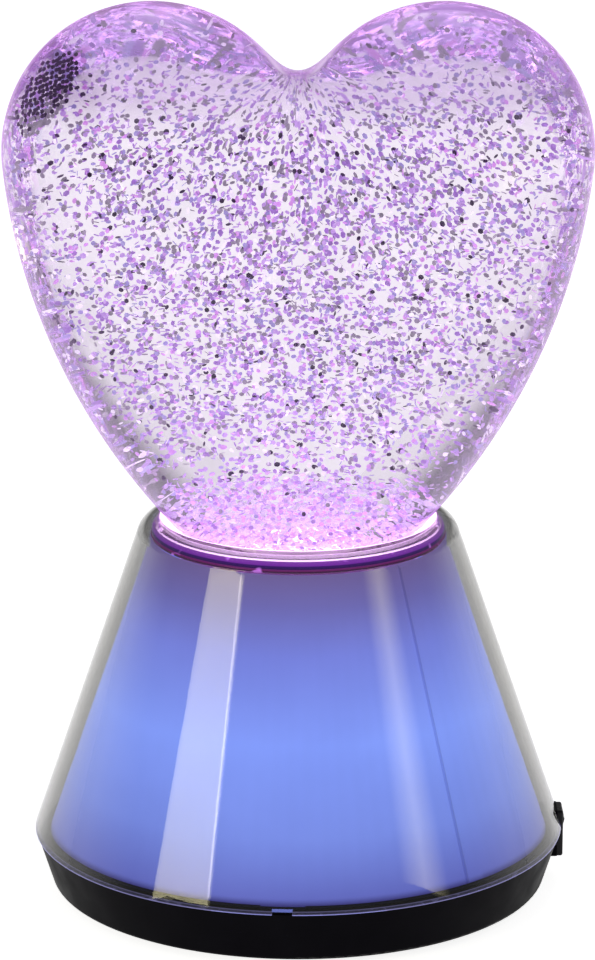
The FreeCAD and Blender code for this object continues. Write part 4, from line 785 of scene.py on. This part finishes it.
solidFinishes = {
    "glow_film": {
        "tones": (rgb(92, 104, 170), rgb(84, 96, 160)), "grain": 40, "roughness": (0.45, 0.6),
        "bumpGrain": 120, "bump": 0.05, "gloss": 0.2,
        # painted light from the lamps inside, darker towards the foot and the top
        "glowSpan": (0.0155, 0.0904), "glowStrength": 2.24,
        "glow": [(0.0, rgb(44, 42, 104)), (0.004, rgb(52, 50, 116)), (0.022, rgb(92, 100, 184)),
                 (0.2, rgb(115, 136, 223)), (0.48, rgb(127, 153, 247)),
                 (0.75, rgb(114, 126, 216)), (0.9, rgb(102, 98, 168)), (1.0, rgb(102, 86, 140))],
        # a painted shade line at the film's edge
        "seam": {"azimuth": 40.5, "width": 0.36, "share": 0.7},
        "nodes": ("diffuser_sleeve",),
    },
    "plug_glow": {
        "tones": (rgb(250, 225, 250), rgb(240, 210, 245)), "grain": 60, "roughness": (0.2, 0.35),
        "bumpGrain": 90, "bump": 0.1,
        # a painted glow from the lamps below
        "glowSpan": (0.0752, 0.0822), "glowStrength": 1.1,
        "glow": [(0.0, rgb(150, 90, 190)), (0.6, rgb(220, 150, 235)), (1.0, rgb(238, 212, 244))],
        "nodes": ("globe_plug",),
    },
    "black_tray": {
        "tones": (rgb(8, 7, 12), rgb(5, 4, 8)), "grain": 90, "roughness": (0.38, 0.5), "gloss": 0.02,
        "bumpGrain": 900, "bump": 0.05,
        "nodes": ("base_tray", "battery_door"),
    },
    "switch_black": {
        "tones": (rgb(14, 12, 20), rgb(8, 7, 12)), "grain": 150, "roughness": (0.25, 0.36),
        "gloss": 0.15, "bumpGrain": 900, "bump": 0.05,
        "nodes": ("switch_housing", "switch_rocker"),
    },
    "foot_rubber": {
        "tones": (rgb(48, 47, 50), rgb(34, 33, 36)), "grain": 200, "roughness": (0.75, 0.9),
        "bumpGrain": 1200, "bump": 0.3,
        "nodes": ("rubber_feet",),
    },
    "seal_rubber": {
        "tones": (rgb(60, 40, 66), rgb(44, 30, 50)), "grain": 200, "roughness": (0.5, 0.65),
        "bumpGrain": 900, "bump": 0.1,
        "nodes": ("plug_seal",),
    },
    "screw_steel": {
        "tones": (rgb(196, 196, 200), rgb(160, 160, 166)), "grain": 500, "roughness": (0.22, 0.38),
        "metal": 1.0, "bumpGrain": 1800, "bump": 0.08,
        "nodes": ("base_screws", "plug_screws", "bracket_screws", "door_screw", "impeller_pin",
                  "motor_shaft"),
    },
    "cell_jacket": {
        "tones": (rgb(150, 154, 164), rgb(118, 122, 132)), "grain": 120, "roughness": (0.18, 0.3),
        "metal": 0.8, "bumpGrain": 700, "bump": 0.04,
        "nodes": ("battery_cells",),
    },
    "contact_nickel": {
        "tones": (rgb(214, 212, 204), rgb(186, 184, 178)), "grain": 300, "roughness": (0.12, 0.25),
        "metal": 1.0, "bumpGrain": 1500, "bump": 0.05,
        "nodes": ("contact_plates", "battery_springs"),
    },
    "white_plastic": {
        "tones": (rgb(238, 238, 240), rgb(226, 226, 230)), "grain": 70, "roughness": (0.35, 0.5),
        "bumpGrain": 900, "bump": 0.06,
        "nodes": ("light_deck", "motor_bracket", "magnet_carrier"),
    },
    "board_white": {
        "tones": (rgb(228, 230, 226), rgb(206, 210, 204)), "grain": 260, "roughness": (0.25, 0.4),
        "coat": 0.3, "bumpGrain": 1200, "bump": 0.08,
        "nodes": ("lower_light_board", "upper_light_board"),
    },
    "board_green": {
        "tones": (rgb(46, 112, 74), rgb(30, 84, 54)), "grain": 260, "roughness": (0.25, 0.4),
        "coat": 0.3, "bumpGrain": 1200, "bump": 0.08,
        "nodes": ("control_board",),
    },
    "component_black": {
        "tones": (rgb(38, 38, 40), rgb(26, 26, 28)), "grain": 400, "roughness": (0.4, 0.55),
        "bumpGrain": 2000, "bump": 0.1,
        "nodes": ("board_components",),
    },
    "motor_steel": {
        "tones": (rgb(190, 190, 188), rgb(164, 164, 162)), "grain": 200, "roughness": (0.2, 0.35),
        "metal": 1.0, "bumpGrain": 800, "bump": 0.05, "stretch": (1, 1, 6),
        "nodes": ("motor_can", "rotor_core"),
    },
    "motor_cap": {
        "tones": (rgb(226, 222, 208), rgb(208, 204, 190)), "grain": 120, "roughness": (0.4, 0.55),
        "bumpGrain": 900, "bump": 0.08,
        "nodes": ("motor_end_cap",),
    },
    "terminal_brass": {
        "tones": (rgb(206, 176, 108), rgb(182, 150, 84)), "grain": 300, "roughness": (0.2, 0.35),
        "metal": 1.0, "bumpGrain": 1500, "bump": 0.05,
        "nodes": ("motor_terminals", "switch_terminals"),
    },
    "magnet_nickel": {
        "tones": (rgb(206, 206, 210), rgb(184, 184, 190)), "grain": 300, "roughness": (0.1, 0.2),
        "metal": 1.0, "bumpGrain": 1500, "bump": 0.04,
        "nodes": ("drive_magnets", "impeller_magnets"),
    },
    "lead_red": {
        "tones": (rgb(186, 46, 42), rgb(160, 34, 32)), "grain": 300, "roughness": (0.3, 0.45),
        "bumpGrain": 1200, "bump": 0.08,
        "nodes": ("switch_leads", "motor_leads", "lamp_leads", "battery_leads"),
    },
}


def dressNodes(finishes, maker):
    for name, finish in finishes.items():
        material = maker(name, finish)
        for node in finish["nodes"]:
            cadNodes[node].data.materials[0] = material


dressNodes(clearFinishes, clearFinish)
dressNodes(solidFinishes, solidFinish)
print("finishes assigned")


# Floor and light

studio = {
    "floorSize": 8.0,
    "floorParts": 8,
    "floorTones": (rgb(252, 252, 253), rgb(248, 248, 250)),
    "floorGrain": 3,
    "floorSpan": (0.3, 0.7),
    "floorRoughness": 0.9,
    "floorGlow": 0.86,
    "skyWhite": 1.0,
    "skyGrey": 0.24,
    "horizon": (0.04, 0.16),  # white below, grey above
    "aim": (0, 0, 0.09),
}

softboxes = {
    "softbox_left": {
        "azimuth": -50.7, "height": 0.36825, "distance": 1.15, "size": (0.53, 0.1855), "roll": 8.0,
        "bright": 5.4, "edge": 0.04, "tint": (1.0, 0.93, 0.55), "skips": "heart_globe"},
    "softbox_line": {
        "azimuth": -38.9, "height": 0.40425, "distance": 1.165, "size": (0.024, 0.1855), "roll": 15.0,
        "bright": 7.0, "edge": 0.5, "tint": (1.0, 0.97, 0.85)},
    "softbox_right": {
        "azimuth": 56.0, "height": 0.35725, "distance": 1.15, "size": (0.44, 0.1855), "roll": -11.0,
        "bright": 3.2, "edge": 0.95, "tint": (1.0, 0.93, 0.55)},
    "softbox_top": {
        "azimuth": 180.0, "height": 1.25, "distance": 0.5, "size": (0.9, 0.6), "roll": 0.0,
        "bright": 1.2, "edge": 0.5, "tint": (1.0, 1.0, 1.0)},
}


def makeFloor(values):
    material, tree, shader = newMaterial("floor_white")
    tonesOf(tree, noiseOn(tree, values["floorGrain"]), values["floorTones"], values["floorSpan"],
            shader.inputs["Base Color"])
    shader.inputs["Roughness"].default_value = values["floorRoughness"]
    shader.inputs["Emission Color"].default_value = (1, 1, 1, 1)
    shader.inputs["Emission Strength"].default_value = values["floorGlow"]
    bm = bmesh.new()
    bmesh.ops.create_grid(bm, x_segments=values["floorParts"], y_segments=values["floorParts"],
                          size=values["floorSize"] / 2)
    floor = makePiece("floor", bm, material, body=None)


def makeSky(values):
    world = bpy.data.worlds.new("studio")
    world.use_nodes = True
    tree = world.node_tree
    ground = tree.nodes["Background"]
    place = tree.nodes.new("ShaderNodeTexCoord")
    parts = tree.nodes.new("ShaderNodeSeparateXYZ")
    tree.links.new(place.outputs["Generated"], parts.inputs["Vector"])
    tones = [(tone, tone, tone, 1) for tone in (values["skyWhite"], values["skyGrey"])]
    tonesOf(tree, parts.outputs["Z"], tones, values["horizon"], ground.inputs["Color"])
    bpy.context.scene.world = world


def makeSoftbox(name, box, aim):
    data = bpy.data.lights.new(name, "AREA")
    data.shape = "RECTANGLE"
    data.size, data.size_y = box["size"]
    data.energy = box["bright"] * math.pi * data.size * data.size_y
    data.color = box["tint"]
    data.use_nodes = True
    tree = data.node_tree
    paintedGlowColour = tree.nodes["Emission"]
    place = tree.nodes.new("ShaderNodeNewGeometry")
    parts = tree.nodes.new("ShaderNodeSeparateXYZ")
    tree.links.new(place.outputs["Parametric"], parts.inputs["Vector"])
    offMiddle = mathOf(tree, "ABSOLUTE", mathOf(tree, "SUBTRACT", parts.outputs["X"], 0.5))
    fade = rangeOf(tree, offMiddle, 0.5 * (1 - box["edge"]), 0.5, 1.0, 0.0)
    tree.links.new(fade, paintedGlowColour.inputs["Strength"])
    light = bpy.data.objects.new(name, data)
    azimuth = math.radians(box["azimuth"])
    light.location = (math.sin(azimuth) * box["distance"], -math.cos(azimuth) * box["distance"],
                      box["height"])
    away = light.location - Vector(aim)
    roll = Matrix.Rotation(math.radians(box["roll"]), 3, "Z")
    light.rotation_euler = (away.to_track_quat("Z", "Y").to_matrix() @ roll).to_euler()
    light.visible_camera = False
    bpy.context.scene.collection.objects.link(light)
    if "skips" in box:  # a flag keeps the box's mirror image off this piece
        apart = bpy.data.collections.new(name + "_skips")
        apart.objects.link(bpy.data.objects[box["skips"]])
        light.light_linking.receiver_collection = apart
        apart.collection_objects[0].light_linking.link_state = "EXCLUDE"


makeFloor(studio)
makeSky(studio)
for boxName, boxValues in softboxes.items():
    makeSoftbox(boxName, boxValues, studio["aim"])
bpy.context.scene.view_settings.view_transform = "Standard"
print("studio made")
